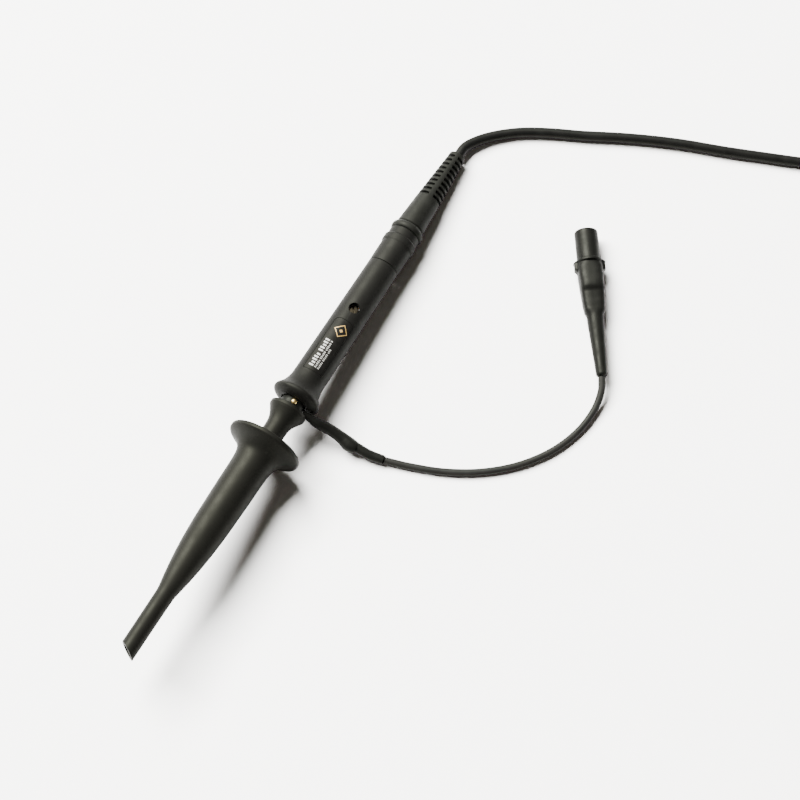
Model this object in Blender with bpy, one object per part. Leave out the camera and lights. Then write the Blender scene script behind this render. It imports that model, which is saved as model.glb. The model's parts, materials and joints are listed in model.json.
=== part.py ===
"""A passive 1X/10X oscilloscope probe with its sprung hook tip, ground lead, cable and BNC plug.

The probe lies on a table, z = 0, with its tip towards +X. It rests on the rim of the hook
sleeve's flange and on the marker ring at its rear, so its axis rises a little towards the tip.
Lengths are in metres; "along" is the distance along the probe's axis from the flange's rim,
positive towards the tip.
"""

import math

import bmesh
import bpy
from mathutils import Matrix, Vector

MM = 0.001
SEGMENTS = 28
GAP = 0.3 * MM
FIT = 0.1 * MM
OVERCUT = 2 * MM

# Hook sleeve and its flange.
FLANGE_RADIUS = 10.5 * MM
NOZZLE_END = 66.0 * MM
NOZZLE_RADIUS = 2.45 * MM
NOZZLE_CUT_ANGLE = math.radians(31)
SLEEVE_RADIUS = 5.25 * MM
SLEEVE_BACK = -0.7 * MM

# Hook carrier: the neck behind the flange and its collar.
NECK_RADIUS = 3.18 * MM
COLLAR_RADIUS = 5.33 * MM
COLLAR_BACK = -12.4 * MM
CARRIER_FRONT = 26.0 * MM
HOOK_WIRE_RADIUS = 0.35 * MM
HOOK_BEND_RADIUS = 0.5 * MM
HOOK_BEND_AT = 63.2 * MM

# Nose of the probe, which the carrier slides over.
BARREL_RADIUS = 2.5 * MM
BARREL_WALL = 0.5 * MM
BARREL_FRONT = 11.0 * MM
BARREL_BACK = -24.0 * MM
NEEDLE_RADIUS = 0.38 * MM

# Probe body.
BODY_FRONT = -14.8 * MM
LIP_AT = -16.4 * MM
LIP_RADIUS = 6.93 * MM
BODY_FRONT_RADIUS = 4.8 * MM
BODY_REAR_RADIUS = 4.5 * MM
BODY_TAPER_FROM = -22.5 * MM
BODY_SEAM = -63.1 * MM
BODY_BORE = 3.65 * MM
RING_AT = -76.6 * MM
RING_RADIUS = 4.9 * MM
REAR_END = -78.0 * MM
ROLL = math.radians(8)

# Label panel, trimmer and slide switch.
LABEL_CENTRE = -32.7 * MM
LABEL_LENGTH = 18.0 * MM
LABEL_WIDTH = 5.7 * MM
LABEL_DEPTH = 0.3 * MM
TRIMMER_AT = -46.1 * MM
TRIMMER_HOLE_RADIUS = 1.55 * MM
SWITCH_AT = -40.0 * MM
SWITCH_TRAVEL = 2.5 * MM
SWITCH_STEM_WIDTH = 1.8 * MM
BOARD_WIDTH = 5.2 * MM
BOARD_THICKNESS = 0.8 * MM

# Strain relief and cable.
RELIEF_END = -106.0 * MM
RELIEF_START_RADIUS = 4.15 * MM
RELIEF_END_RADIUS = 2.5 * MM
CABLE_RADIUS = 1.5 * MM

# Ground lead and its crocodile clip.
RING_BACK = -15.6 * MM
ARM_BACK = -14.6 * MM
ARM_FRONT = -12.7 * MM
LEAD_WIRE_RADIUS = 1.0 * MM
CLIP_AXIS_HEIGHT = 3.7 * MM
CLIP_MOUTH = (-82.9 * MM, 43.5 * MM, CLIP_AXIS_HEIGHT)
CLIP_HEADING = math.radians(213.5)
CLIP_LENGTH = 44.0 * MM
PIVOT_BACK = 13.0 * MM
JAW_WIDTH = 2.4 * MM

# Spare cable, coiled, and the BNC plug that lies beside it.
COIL_CENTRE = (-127.5 * MM, 125.0 * MM)
COIL_RADIUS = 16.0 * MM
COIL_WIDTH = 10.7 * MM
COIL_HEIGHT = 12.2 * MM
COIL_FOOT = 0.9 * MM
TIE_THICKNESS = 0.6 * MM
TIE_WIDTH = 4.0 * MM
PLUG_NUT_RADIUS = 7.25 * MM
PLUG_FACE = (-82.0 * MM, 157.5 * MM, PLUG_NUT_RADIUS)

# The axis rises so that the flange's rim and the marker ring both touch the table.
FLANGE_FOOT = -0.3 * MM
RING_FOOT = RING_AT - 0.6 * MM
PITCH = math.atan((FLANGE_RADIUS - RING_RADIUS) / (FLANGE_FOOT - RING_FOOT))
PROBE_HEIGHT = FLANGE_RADIUS * math.cos(PITCH) - FLANGE_FOOT * math.sin(PITCH)
NOSE_REACH = NOZZLE_END + NOZZLE_RADIUS * math.tan(NOZZLE_CUT_ANGLE)
PROBE_X = -(NOSE_REACH + RELIEF_END) / 2 * math.cos(PITCH)

# Points that the cords pass through, on the table unless a height is given.
CABLE_ROUTE_MM = [
    (-86.9, 0.0, 2.64), (-91.5, 0.6, 2.25), (-97.3, 4.6, 1.75), (-103.0, 11.3, 1.55),
    (-107.3, 19.0, 1.55), (-111.4, 28.0, 1.55), (-117.2, 39.8, 1.55), (-122.6, 52.6, 1.55),
    (-127.2, 66.0, 1.55), (-132.2, 79.5, 1.55), (-137.6, 94.0, 1.6), (-142.1, 107.3, 1.9),
]
TAIL_ROUTE_MM = [
    (-138.9, 144.9, 10.3), (-136.0, 150.2, 9.3), (-131.2, 154.6, 8.1), (-125.5, 157.1, 7.35),
    (-119.3, 157.5, 7.25),
]
LEAD_ROUTE_MM = [
    (4.0, 28.0, 1.35), (2.0, 34.8, 1.1), (-1.2, 43.4, 1.05), (-6.0, 52.0, 1.05), (-12.6, 59.8, 1.05),
    (-20.6, 65.8, 1.05), (-29.0, 69.3, 1.1), (-36.6, 70.4, 1.6), (-42.2, 69.7, 2.8), (-46.0, 67.9, 3.6),
]

PARTS = {}


# ---------------------------------------------------------------- building blocks


def clear_scene():
    for obj in list(bpy.data.objects):
        bpy.data.objects.remove(obj, do_unlink=True)


def finish_of(name, colour, roughness, metallic=0.0):
    material = bpy.data.materials.new(name)
    material.use_nodes = True
    shader = material.node_tree.nodes["Principled BSDF"]
    shader.inputs["Base Color"].default_value = (*colour, 1.0)
    shader.inputs["Roughness"].default_value = roughness
    shader.inputs["Metallic"].default_value = metallic
    return material


def empty(name, location, rotation=(0, 0, 0)):
    frame = bpy.data.objects.new(name, None)
    frame.location = location
    frame.rotation_euler = rotation
    bpy.context.scene.collection.objects.link(frame)
    return frame


def place(name, mesh, finish, parent, at=(0, 0, 0), turn=(0, 0, 0)):
    obj = bpy.data.objects.new(name, mesh)
    obj.location = at
    obj.rotation_euler = turn
    obj.parent = parent
    bpy.context.scene.collection.objects.link(obj)
    if finish is not None:
        mesh.materials.append(finish)
    PARTS[name] = obj
    return obj


def mesh_from(bm, name, smooth=True):
    bmesh.ops.recalc_face_normals(bm, faces=bm.faces)
    mesh = bpy.data.meshes.new(name)
    bm.to_mesh(mesh)
    bm.free()
    if smooth:
        mesh.shade_smooth()
        mesh.set_sharp_from_angle(angle=math.radians(35))
    return mesh


def turned(name, profile, finish, parent, at=(0, 0, 0), turn=(0, 0, 0), segments=SEGMENTS):
    """A solid of revolution about local X. The profile is (along, radius) points in order."""
    bm = bmesh.new()
    points = [bm.verts.new((along, 0, radius)) for along, radius in profile]
    edges = [bm.edges.new(pair) for pair in zip(points, points[1:])]
    if profile[0][1] > 0:
        edges.append(bm.edges.new((points[-1], points[0])))
    bmesh.ops.spin(
        bm, geom=points + edges, cent=(0, 0, 0), axis=(1, 0, 0),
        angle=2 * math.pi, steps=segments, use_merge=True,
    )
    bmesh.ops.remove_doubles(bm, verts=bm.verts, dist=0.001 * MM)
    return place(name, mesh_from(bm, name), finish, parent, at, turn)


def tube_profile(back, front, inner, outer):
    return [(back, inner), (back, outer), (front, outer), (front, inner)]


def block(name, size, finish, parent, at=(0, 0, 0), turn=(0, 0, 0), bevel=0.0):
    bm = bmesh.new()
    bmesh.ops.create_cube(bm, size=1.0)
    bmesh.ops.scale(bm, vec=size, verts=bm.verts)
    obj = place(name, mesh_from(bm, name, smooth=False), finish, parent, at, turn)
    if bevel:
        round_edges(obj, bevel)
    return obj


def round_edges(obj, width, segments=1):
    modifier = obj.modifiers.new("round edges", "BEVEL")
    modifier.width = width
    modifier.segments = segments
    modifier.limit_method = "ANGLE"


def prism(name, outline, depth, finish, parent, at=(0, 0, 0), turn=(0, 0, 0)):
    """The outline in local XZ, extruded by depth along local Y about its middle."""
    bm = bmesh.new()
    face = bm.faces.new([bm.verts.new((x, -depth / 2, z)) for x, z in outline])
    grown = bmesh.ops.extrude_face_region(bm, geom=[face])
    moved = [item for item in grown["geom"] if isinstance(item, bmesh.types.BMVert)]
    bmesh.ops.translate(bm, vec=(0, depth, 0), verts=moved)
    return place(name, mesh_from(bm, name, smooth=False), finish, parent, at, turn)


def boolean(obj, other, operation="DIFFERENCE"):
    modifier = obj.modifiers.new(other.name, "BOOLEAN")
    modifier.operation = operation
    modifier.object = other
    modifier.solver = "EXACT"


def as_cutter(obj):
    obj.hide_render = True
    obj.display_type = "WIRE"
    return obj


def cylinder_cutter(name, radius, length, parent, at, turn=(0, 0, 0), segments=24):
    profile = [(-length / 2, 0), (-length / 2, radius), (length / 2, radius), (length / 2, 0)]
    return as_cutter(turned(name, profile, None, parent, at, turn, segments))


def block_cutter(name, size, parent, at, turn=(0, 0, 0)):
    return as_cutter(block(name, size, None, parent, at, turn))


def smooth_route(points, spacing):
    """Points about this far apart on a Catmull-Rom curve through the given ones."""
    ends = [2 * points[0] - points[1], *points, 2 * points[-1] - points[-2]]
    route = []
    for before, start, end, after in zip(ends, ends[1:], ends[2:], ends[3:]):
        steps = max(1, round((end - start).length / spacing))
        for step in range(steps):
            t = step / steps
            bend = 2 * before - 5 * start + 4 * end - after
            twist = 3 * start - before - 3 * end + after
            route.append(start + 0.5 * t * ((end - before) + t * (bend + t * twist)))
    return [*route, points[-1]]


def wire(name, route, radius, finish, parent=None, sides=2):
    """A round wire or cord along the route, with filled ends."""
    curve = bpy.data.curves.new(name, "CURVE")
    curve.dimensions = "3D"
    curve.bevel_depth = radius
    curve.bevel_resolution = sides
    curve.use_fill_caps = True
    spline = curve.splines.new("POLY")
    spline.points.add(len(route) - 1)
    for point, place_at in zip(spline.points, route):
        point.co = (*place_at, 1.0)
    return place(name, curve, finish, parent)


def cord(name, route_mm, radius, finish):
    points = [Vector(point) * MM for point in route_mm]
    return wire(name, smooth_route(points, 5.2 * radius), radius, finish)


def helix(start, pitch, turns, radius, steps=10):
    """Points of a coil about local X, from start towards +X."""
    count = round(turns * steps)
    angles = [2 * math.pi * index / steps for index in range(count + 1)]
    return [
        (start + pitch * angle / (2 * math.pi), radius * math.cos(angle), radius * math.sin(angle))
        for angle in angles
    ]


def body_radius(along):
    """Outer radius of the body where it tapers gently from behind the lip to the seam."""
    share = (BODY_TAPER_FROM - along) / (BODY_TAPER_FROM - BODY_SEAM)
    return BODY_FRONT_RADIUS + (BODY_REAR_RADIUS - BODY_FRONT_RADIUS) * share


# ---------------------------------------------------------------- hook tip


def hook_sleeve(probe, finishes):
    outside = [
        (NOZZLE_END + 4 * MM, NOZZLE_RADIUS), (47.5 * MM, 2.62 * MM), (46 * MM, 2.8 * MM),
        (43 * MM, 3.35 * MM), (39 * MM, 3.95 * MM), (34 * MM, 4.5 * MM), (28 * MM, 4.93 * MM),
        (20 * MM, 5.15 * MM), (10 * MM, SLEEVE_RADIUS), (6.2 * MM, 5.35 * MM),
        (4.2 * MM, 5.85 * MM), (2.9 * MM, 6.8 * MM), (2.0 * MM, 8.2 * MM), (1.3 * MM, 9.8 * MM),
        (0.8 * MM, 10.35 * MM), (0.3 * MM, FLANGE_RADIUS), (-0.3 * MM, FLANGE_RADIUS),
        (SLEEVE_BACK, 10.15 * MM),
    ]
    pocket = 4.3 * MM
    chamber = 3.95 * MM
    inside = [
        (SLEEVE_BACK, pocket), (3.3 * MM, pocket), (3.3 * MM, chamber), (30 * MM, chamber),
        (38 * MM, 3.0 * MM), (44 * MM, 2.1 * MM), (49 * MM, 1.5 * MM), (NOZZLE_END + 4 * MM, 1.5 * MM),
    ]
    sleeve = turned("hook_sleeve", outside + inside, finishes["gloss_black"], probe)
    reach = 12 * MM
    cutter = block_cutter(
        "nozzle_cutter", (reach, reach, reach), probe,
        (NOZZLE_END + reach / 2 / math.cos(NOZZLE_CUT_ANGLE), 0, 0), (0, 0, -NOZZLE_CUT_ANGLE),
    )
    boolean(sleeve, cutter)
    turned(
        "retaining_bush", tube_profile(SLEEVE_BACK + FIT, 3.2 * MM, NECK_RADIUS + FIT, 4.2 * MM),
        finishes["grey_plastic"], probe,
    )


def hook_carrier(probe, finishes):
    bore = BARREL_RADIUS + FIT
    rib = 3.75 * MM
    outside = [
        (COLLAR_BACK, COLLAR_RADIUS - 0.2 * MM), (COLLAR_BACK + 0.2 * MM, COLLAR_RADIUS),
        (-11.4 * MM, COLLAR_RADIUS), (-11.0 * MM, 5.2 * MM), (-10.3 * MM, 4.75 * MM),
        (-9.2 * MM, 4.05 * MM), (-8.1 * MM, 3.5 * MM), (-7.0 * MM, NECK_RADIUS),
        (3.4 * MM, NECK_RADIUS), (3.4 * MM, rib), (5.0 * MM, rib), (5.0 * MM, NECK_RADIUS),
        (CARRIER_FRONT, NECK_RADIUS),
    ]
    inside = [
        (CARRIER_FRONT, 0.55 * MM), (24.9 * MM, 0.55 * MM), (24.9 * MM, 1.6 * MM),
        (12.5 * MM, 1.6 * MM), (12.5 * MM, bore), (COLLAR_BACK, bore),
    ]
    turned("hook_carrier", outside + inside, finishes["gloss_black"], probe)


def contact_socket(probe, finishes):
    profile = [
        (13.0 * MM, 0.5 * MM), (13.0 * MM, 1.5 * MM), (24.8 * MM, 1.5 * MM), (24.8 * MM, 0.45 * MM),
        (20.0 * MM, 0.45 * MM), (20.0 * MM, 0.5 * MM),
    ]
    turned("contact_socket", profile, finishes["brass"], probe, segments=16)


def hook_wire(probe, finishes):
    """The spring-steel rod, which turns back on itself in an open hook at the tip."""
    side = 0.4 * MM
    route = [(21.0 * MM, 0, 0), (50.0 * MM, 0, 0), (56.0 * MM, -side, 0), (HOOK_BEND_AT, -side, 0)]
    for step in range(1, 7):
        angle = math.pi * step / 6
        across = -side + HOOK_BEND_RADIUS * (1 - math.cos(angle))
        route.append((HOOK_BEND_AT + HOOK_BEND_RADIUS * math.sin(angle), across, 0))
    route.append((HOOK_BEND_AT - 0.7 * MM, -side + 2 * HOOK_BEND_RADIUS, 0))
    wire("hook_wire", route, HOOK_WIRE_RADIUS, finishes["bright_metal"], probe)


def hook_spring(probe, finishes):
    """The return spring, at the length it has when the sleeve is drawn back."""
    start = CARRIER_FRONT + FIT + 0.2 * MM
    wire("hook_spring", helix(start, 1.05 * MM, 8.5, 1.6 * MM), 0.2 * MM,
         finishes["bright_metal"], probe, sides=1)


# ---------------------------------------------------------------- probe body


def nose(probe, finishes):
    turned(
        "nose_barrel",
        tube_profile(BARREL_BACK, BARREL_FRONT, BARREL_RADIUS - BARREL_WALL, BARREL_RADIUS),
        finishes["nickel"], probe, segments=24,
    )
    insulator = [
        (-20.0 * MM, 0.5 * MM), (-20.0 * MM, 1.9 * MM), (11.2 * MM, 1.9 * MM),
        (12.3 * MM, 1.2 * MM), (12.3 * MM, 0.5 * MM),
    ]
    turned("tip_insulator", insulator, finishes["white_plastic"], probe, segments=16)
    needle = [
        (-23.0 * MM, 0), (-23.0 * MM, NEEDLE_RADIUS), (17.0 * MM, NEEDLE_RADIUS), (19.0 * MM, 0),
    ]
    turned("probe_needle", needle, finishes["brass"], probe, segments=12)


def front_body(probe, finishes):
    outside = [
        (BODY_FRONT, 4.7 * MM), (-15.2 * MM, 5.75 * MM), (-15.8 * MM, 6.6 * MM), (LIP_AT, LIP_RADIUS),
        (-17.1 * MM, 6.75 * MM), (-18.0 * MM, 6.1 * MM), (-19.2 * MM, 5.45 * MM),
        (-20.8 * MM, 5.0 * MM), (BODY_TAPER_FROM, BODY_FRONT_RADIUS), (BODY_SEAM, BODY_REAR_RADIUS),
    ]
    inside = [
        (BODY_SEAM, BODY_BORE), (-19.5 * MM, BODY_BORE), (-19.5 * MM, BARREL_RADIUS + FIT),
        (-16.2 * MM, BARREL_RADIUS + FIT), (-16.2 * MM, 3.7 * MM), (BODY_FRONT, 3.7 * MM),
    ]
    body = turned("front_body", outside + inside, finishes["satin_black"], probe)
    boolean(body, label_cutter(probe))
    boolean(body, cylinder_cutter(
        "trimmer_hole_cutter", TRIMMER_HOLE_RADIUS, 4 * MM, probe,
        (TRIMMER_AT, 0, 4.2 * MM), (0, math.pi / 2, 0),
    ))
    boolean(body, block_cutter(
        "switch_slot_cutter", (SWITCH_TRAVEL + 3.0 * MM, SWITCH_STEM_WIDTH + 4 * FIT, 4 * MM), probe,
        (SWITCH_AT + SWITCH_TRAVEL / 2, 0, -4.2 * MM),
    ))


def label_outline(length, width):
    """A rectangle whose end nearest the trimmer is rounded, as (x, y) points."""
    half_length, half_width = length / 2, width / 2
    corner = 1.4 * MM
    points = [(half_length, -half_width), (half_length, half_width)]
    for side, start in ((1, 0), (-1, 90)):
        for step in range(4):
            angle = math.radians(start + 30 * step)
            points.append((
                corner - half_length - corner * math.sin(angle),
                side * (half_width - corner) + corner * math.cos(angle),
            ))
    return points


def label_block(name, length, width, probe, finish=None):
    bm = bmesh.new()
    low, high = 2.0 * MM, 7.0 * MM
    face = bm.faces.new([bm.verts.new((x, y, low)) for x, y in label_outline(length, width)])
    grown = bmesh.ops.extrude_face_region(bm, geom=[face])
    moved = [item for item in grown["geom"] if isinstance(item, bmesh.types.BMVert)]
    bmesh.ops.translate(bm, vec=(0, 0, high - low), verts=moved)
    return place(name, mesh_from(bm, name, smooth=False), finish, probe, (LABEL_CENTRE, 0, 0))


def label_ring(name, length, inner_depth, outer_depth, probe, finish=None):
    """A sleeve that follows the body's taper, from one depth below its surface to another."""
    back, front = LABEL_CENTRE - length / 2, LABEL_CENTRE + length / 2
    profile = [
        (back, body_radius(back) - inner_depth), (back, body_radius(back) - outer_depth),
        (front, body_radius(front) - outer_depth), (front, body_radius(front) - inner_depth),
    ]
    return turned(name, profile, finish, probe, segments=48)


def label_cutter(probe):
    ring = label_ring("label_recess_cutter", LABEL_LENGTH + OVERCUT, LABEL_DEPTH, -OVERCUT, probe)
    cutter = as_cutter(ring)
    outline = as_cutter(label_block("label_recess_outline", LABEL_LENGTH, LABEL_WIDTH, probe))
    boolean(cutter, outline, "INTERSECT")
    return cutter


def label_plate(probe, finishes):
    plate = label_ring(
        "label_plate", LABEL_LENGTH, LABEL_DEPTH - 0.08 * MM, 0.02 * MM, probe, finishes["label_black"]
    )
    outline = as_cutter(label_block(
        "label_plate_outline", LABEL_LENGTH - 2 * FIT, LABEL_WIDTH - 2 * FIT, probe
    ))
    boolean(plate, outline, "INTERSECT")


def rear_body(probe, finishes):
    ring_seat = RING_RADIUS - 0.8 * MM
    outside = [
        (BODY_SEAM - FIT, 4.45 * MM), (BODY_SEAM - 0.3 * MM, 4.55 * MM), (-70.2 * MM, 4.6 * MM),
        (-71.0 * MM, 4.88 * MM), (-72.6 * MM, 4.88 * MM), (-73.0 * MM, 4.5 * MM),
        (-75.4 * MM, 4.5 * MM), (-75.4 * MM, ring_seat), (-77.8 * MM, ring_seat),
        (REAR_END, ring_seat - 0.1 * MM),
    ]
    inside = [(REAR_END, 3.3 * MM), (BODY_SEAM - FIT, 3.3 * MM)]
    turned("rear_body", outside + inside, finishes["satin_black"], probe)
    marker = [
        (RING_AT + 1.05 * MM, ring_seat + FIT), (RING_AT + 1.05 * MM, RING_RADIUS - 0.3 * MM),
        (RING_AT + 0.6 * MM, RING_RADIUS), (RING_AT - 0.6 * MM, RING_RADIUS),
        (RING_AT - 1.05 * MM, RING_RADIUS - 0.3 * MM), (RING_AT - 1.05 * MM, ring_seat + FIT),
    ]
    turned("marker_ring", marker, finishes["rubber"], probe)


def electronics(probe, finishes):
    board_back, board_front = -62.0 * MM, -27.0 * MM
    top = BOARD_THICKNESS / 2
    board_length = board_front - board_back
    block("circuit_board", (board_length, BOARD_WIDTH, BOARD_THICKNESS), finishes["board_green"],
          probe, ((board_front + board_back) / 2, 0, 0))
    turned("tip_resistor", [
        (-36.5 * MM, 0), (-36.5 * MM, 0.75 * MM), (-35.8 * MM, 0.95 * MM), (-31.2 * MM, 0.95 * MM),
        (-30.5 * MM, 0.75 * MM), (-30.5 * MM, 0),
    ], finishes["resistor_blue"], probe, (0, 0, top + 1.05 * MM), segments=12)
    trimmer_base = [(top + FIT, 0), (top + FIT, 2.0 * MM), (1.9 * MM, 2.0 * MM), (1.9 * MM, 0)]
    upright = (0, -math.pi / 2, 0)
    turned("trimmer_body", trimmer_base, finishes["white_plastic"], probe,
           (TRIMMER_AT, 0, 0), upright, segments=20)
    block("switch_housing", (7.2 * MM, 3.6 * MM, 1.6 * MM), finishes["bright_metal"], probe,
          (SWITCH_AT + SWITCH_TRAVEL / 2, 0, -top - FIT - 0.8 * MM))


def trimmer_screw(probe, finishes):
    """The slotted rotor that is turned with a screwdriver through the hole in the body."""
    upright = (0, -math.pi / 2, 0)
    low, high = 2.0 * MM, 3.5 * MM
    radius = TRIMMER_HOLE_RADIUS - 0.2 * MM
    screw = turned("trimmer_screw", [
        (low, 0), (low, radius), (high - 0.15 * MM, radius), (high, radius - 0.15 * MM), (high, 0),
    ], finishes["brass"], probe, (TRIMMER_AT, 0, 0), upright, segments=20)
    boolean(screw, block_cutter("screw_slot_cutter", (4 * MM, 0.5 * MM, 1.2 * MM), probe,
                                (TRIMMER_AT, 0, high + 0.1 * MM), (0, 0, math.radians(35))))


def switch_slider(probe, finishes):
    """Stem and ribbed thumb piece of the 1X/10X switch, on the underside."""
    stem_top, plate_top, plate_low = -2.25 * MM, -4.95 * MM, -5.75 * MM
    half = SWITCH_STEM_WIDTH / 2
    reach = 1.6 * MM
    outline = [(-half, stem_top), (-half, plate_top), (-reach, plate_top)]
    ribs = 3
    pitch = 2 * reach / (2 * ribs - 1)
    for rib in range(ribs):
        left = -reach + 2 * rib * pitch
        outline += [(left, plate_low), (left + pitch, plate_low)]
        if rib < ribs - 1:
            outline += [(left + pitch, plate_low + 0.35 * MM), (left + 2 * pitch, plate_low + 0.35 * MM)]
    outline += [(reach, plate_top), (half, plate_top), (half, stem_top)]
    prism("switch_slider", outline, SWITCH_STEM_WIDTH, finishes["grey_plastic"], probe, (SWITCH_AT, 0, 0))


def shield_tube(probe, finishes):
    back = BODY_SEAM + 2 * GAP
    shield = turned("shield_tube", tube_profile(back, -26.5 * MM, 3.2 * MM, 3.5 * MM),
                    finishes["nickel"], probe)
    boolean(shield, cylinder_cutter("shield_hole_cutter", 2.3 * MM, 4 * MM, probe,
                                    (TRIMMER_AT, 0, 3.6 * MM), (0, math.pi / 2, 0)))
    boolean(shield, block_cutter("shield_slot_cutter", (9 * MM, 4.4 * MM, 4 * MM), probe,
                                 (SWITCH_AT + SWITCH_TRAVEL / 2, 0, -3.6 * MM)))


def cable_end(probe, finishes):
    """The strain relief, and the end of the cable that it holds."""
    outside = [
        (-70.0 * MM, 3.2 * MM), (REAR_END - FIT, 3.2 * MM),
        (REAR_END - FIT, RELIEF_START_RADIUS - 0.2 * MM),
        (REAR_END - 0.4 * MM, RELIEF_START_RADIUS), (-88.5 * MM, 3.5 * MM),
        (RELIEF_END + 1.2 * MM, RELIEF_END_RADIUS), (RELIEF_END + 0.3 * MM, RELIEF_END_RADIUS),
        (RELIEF_END, RELIEF_END_RADIUS - 0.25 * MM),
    ]
    bore = CABLE_RADIUS + FIT
    turned("strain_relief", outside + [(RELIEF_END, bore), (-70.0 * MM, bore)], finishes["rubber"], probe)
    turned("cable_crimp", tube_profile(-69.5 * MM, -64.5 * MM, CABLE_RADIUS + FIT, 2.1 * MM),
           finishes["nickel"], probe, segments=20)
    core = [(RELIEF_END, 0), (RELIEF_END, CABLE_RADIUS), (-64.8 * MM, CABLE_RADIUS), (-64.8 * MM, 0)]
    turned("cable_core", core, finishes["cable_black"], probe, segments=16)


# ---------------------------------------------------------------- ground lead


def ground_ring(probe, finishes):
    """The split metal ring of the ground lead, sprung onto the nose barrel."""
    inner, outer = BARREL_RADIUS + FIT, 3.35 * MM
    ring = turned("ground_ring", tube_profile(RING_BACK, COLLAR_BACK - FIT, inner, outer),
                  finishes["bright_metal"], probe, segments=24)
    boolean(ring, block_cutter("ring_split_cutter", (8 * MM, 8 * MM, 1.2 * MM), probe,
                               ((RING_BACK + COLLAR_BACK) / 2, -5 * MM, 0)))


def ground_arm(probe_matrix, finishes):
    """The moulded arm from the ring down to the lead, thickening into the lead's socket."""
    middle = (ARM_BACK + ARM_FRONT) / 2
    root = probe_matrix @ Vector((middle, 0, 0))
    stations = [
        ((root.x, 3.85 * MM, root.z - 0.7 * MM), 0.95), ((root.x, 5.6 * MM, root.z - 1.3 * MM), 1.02),
        ((root.x - 0.1 * MM, 8.2 * MM, root.z - 2.6 * MM), 1.4),
        ((4.9 * MM, 11.6 * MM, 5.35 * MM), 1.55), ((4.9 * MM, 15.0 * MM, 3.95 * MM), 1.7),
        ((5.2 * MM, 17.2 * MM, 3.2 * MM), 2.05), ((5.25 * MM, 19.2 * MM, 2.75 * MM), 1.95),
        ((5.15 * MM, 19.7 * MM, 2.65 * MM), 1.7),
    ]
    swept("ground_arm", stations, finishes["satin_black"])
    swept("lead_sleeve", [
        ((5.0 * MM, 20.05 * MM, 2.6 * MM), 1.45), ((4.9 * MM, 23.6 * MM, 2.0 * MM), 1.4),
        ((4.1 * MM, 27.7 * MM, 1.45 * MM), 1.3),
    ], finishes["rubber"])


def swept(name, stations, finish, sides=12):
    """A round bar through the stations, each a centre and a radius in millimetres."""
    bm = bmesh.new()
    centres = [Vector(centre) for centre, _ in stations]
    rings = []
    for index, (_, radius) in enumerate(stations):
        before, after = centres[max(index - 1, 0)], centres[min(index + 1, len(centres) - 1)]
        facing = (after - before).to_track_quat("Z", "Y").to_matrix().to_4x4()
        circle = bmesh.ops.create_circle(bm, segments=sides, radius=radius * MM)
        bmesh.ops.transform(bm, matrix=Matrix.Translation(centres[index]) @ facing, verts=circle["verts"])
        rings.append(circle["verts"])
    for ring, following in zip(rings, rings[1:]):
        pairs = zip(ring, ring[1:] + ring[:1], following[1:] + following[:1], following)
        for corners in pairs:
            bm.faces.new(corners)
    bm.faces.new(rings[0])
    bm.faces.new(rings[-1])
    return place(name, mesh_from(bm, name), finish, None)


def clip_boot(clip, finishes):
    """The soft boot: a mouth tube, a collar, grip pads and a tail that narrows to the wire."""
    outside = [
        (0, 3.15 * MM), (-0.3 * MM, 3.3 * MM), (-8.8 * MM, 3.35 * MM), (-9.2 * MM, 3.65 * MM),
        (-12.0 * MM, 3.65 * MM), (-12.6 * MM, 3.5 * MM), (-17.0 * MM, 3.5 * MM),
        (-20.5 * MM, 3.4 * MM), (-24.2 * MM, 2.75 * MM), (-24.6 * MM, 2.4 * MM),
        (-CLIP_LENGTH + 0.3 * MM, 1.6 * MM), (-CLIP_LENGTH, 1.4 * MM),
    ]
    bore = LEAD_WIRE_RADIUS + FIT
    inside = [
        (-CLIP_LENGTH, bore), (-30.0 * MM, bore), (-27.5 * MM, 1.55 * MM), (-22.8 * MM, 1.6 * MM),
        (-21.4 * MM, 2.55 * MM), (-18.0 * MM, 2.85 * MM), (0, 2.85 * MM),
    ]
    boot = turned("clip_boot", outside + inside, finishes["rubber"], clip)
    for side in (-1, 1):
        wing = block(f"wing_{side}", (2.8 * MM, 1.0 * MM, 3.4 * MM), None, clip,
                     (-10.6 * MM, side * 3.95 * MM, 0), bevel=0.3 * MM)
        boolean(boot, as_cutter(wing), "UNION")


def jaw_outline(up):
    """Side view of one jaw; up is 1 for the upper jaw and -1 for the lower one."""
    teeth = 6
    pitch = 1.1 * MM
    points = []
    for tooth in range(teeth):
        start = -1.0 * MM - tooth * pitch
        points += [(start, 0.12 * MM), (start - 0.5 * pitch, 0.5 * MM)]
    points += [
        (-8.6 * MM, 0.95 * MM), (-11.7 * MM, 0.95 * MM), (-12.2 * MM, -0.45 * MM),
        (-13.0 * MM, -0.7 * MM), (-13.8 * MM, -0.45 * MM), (-14.3 * MM, 0.95 * MM),
        (-20.4 * MM, 1.35 * MM), (-20.4 * MM, 1.8 * MM), (-13.0 * MM, 1.75 * MM),
        (-8.0 * MM, 1.65 * MM), (-1.5 * MM, 1.0 * MM), (-1.0 * MM, 0.7 * MM),
    ]
    return [(x, up * z) for x, z in points]


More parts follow.
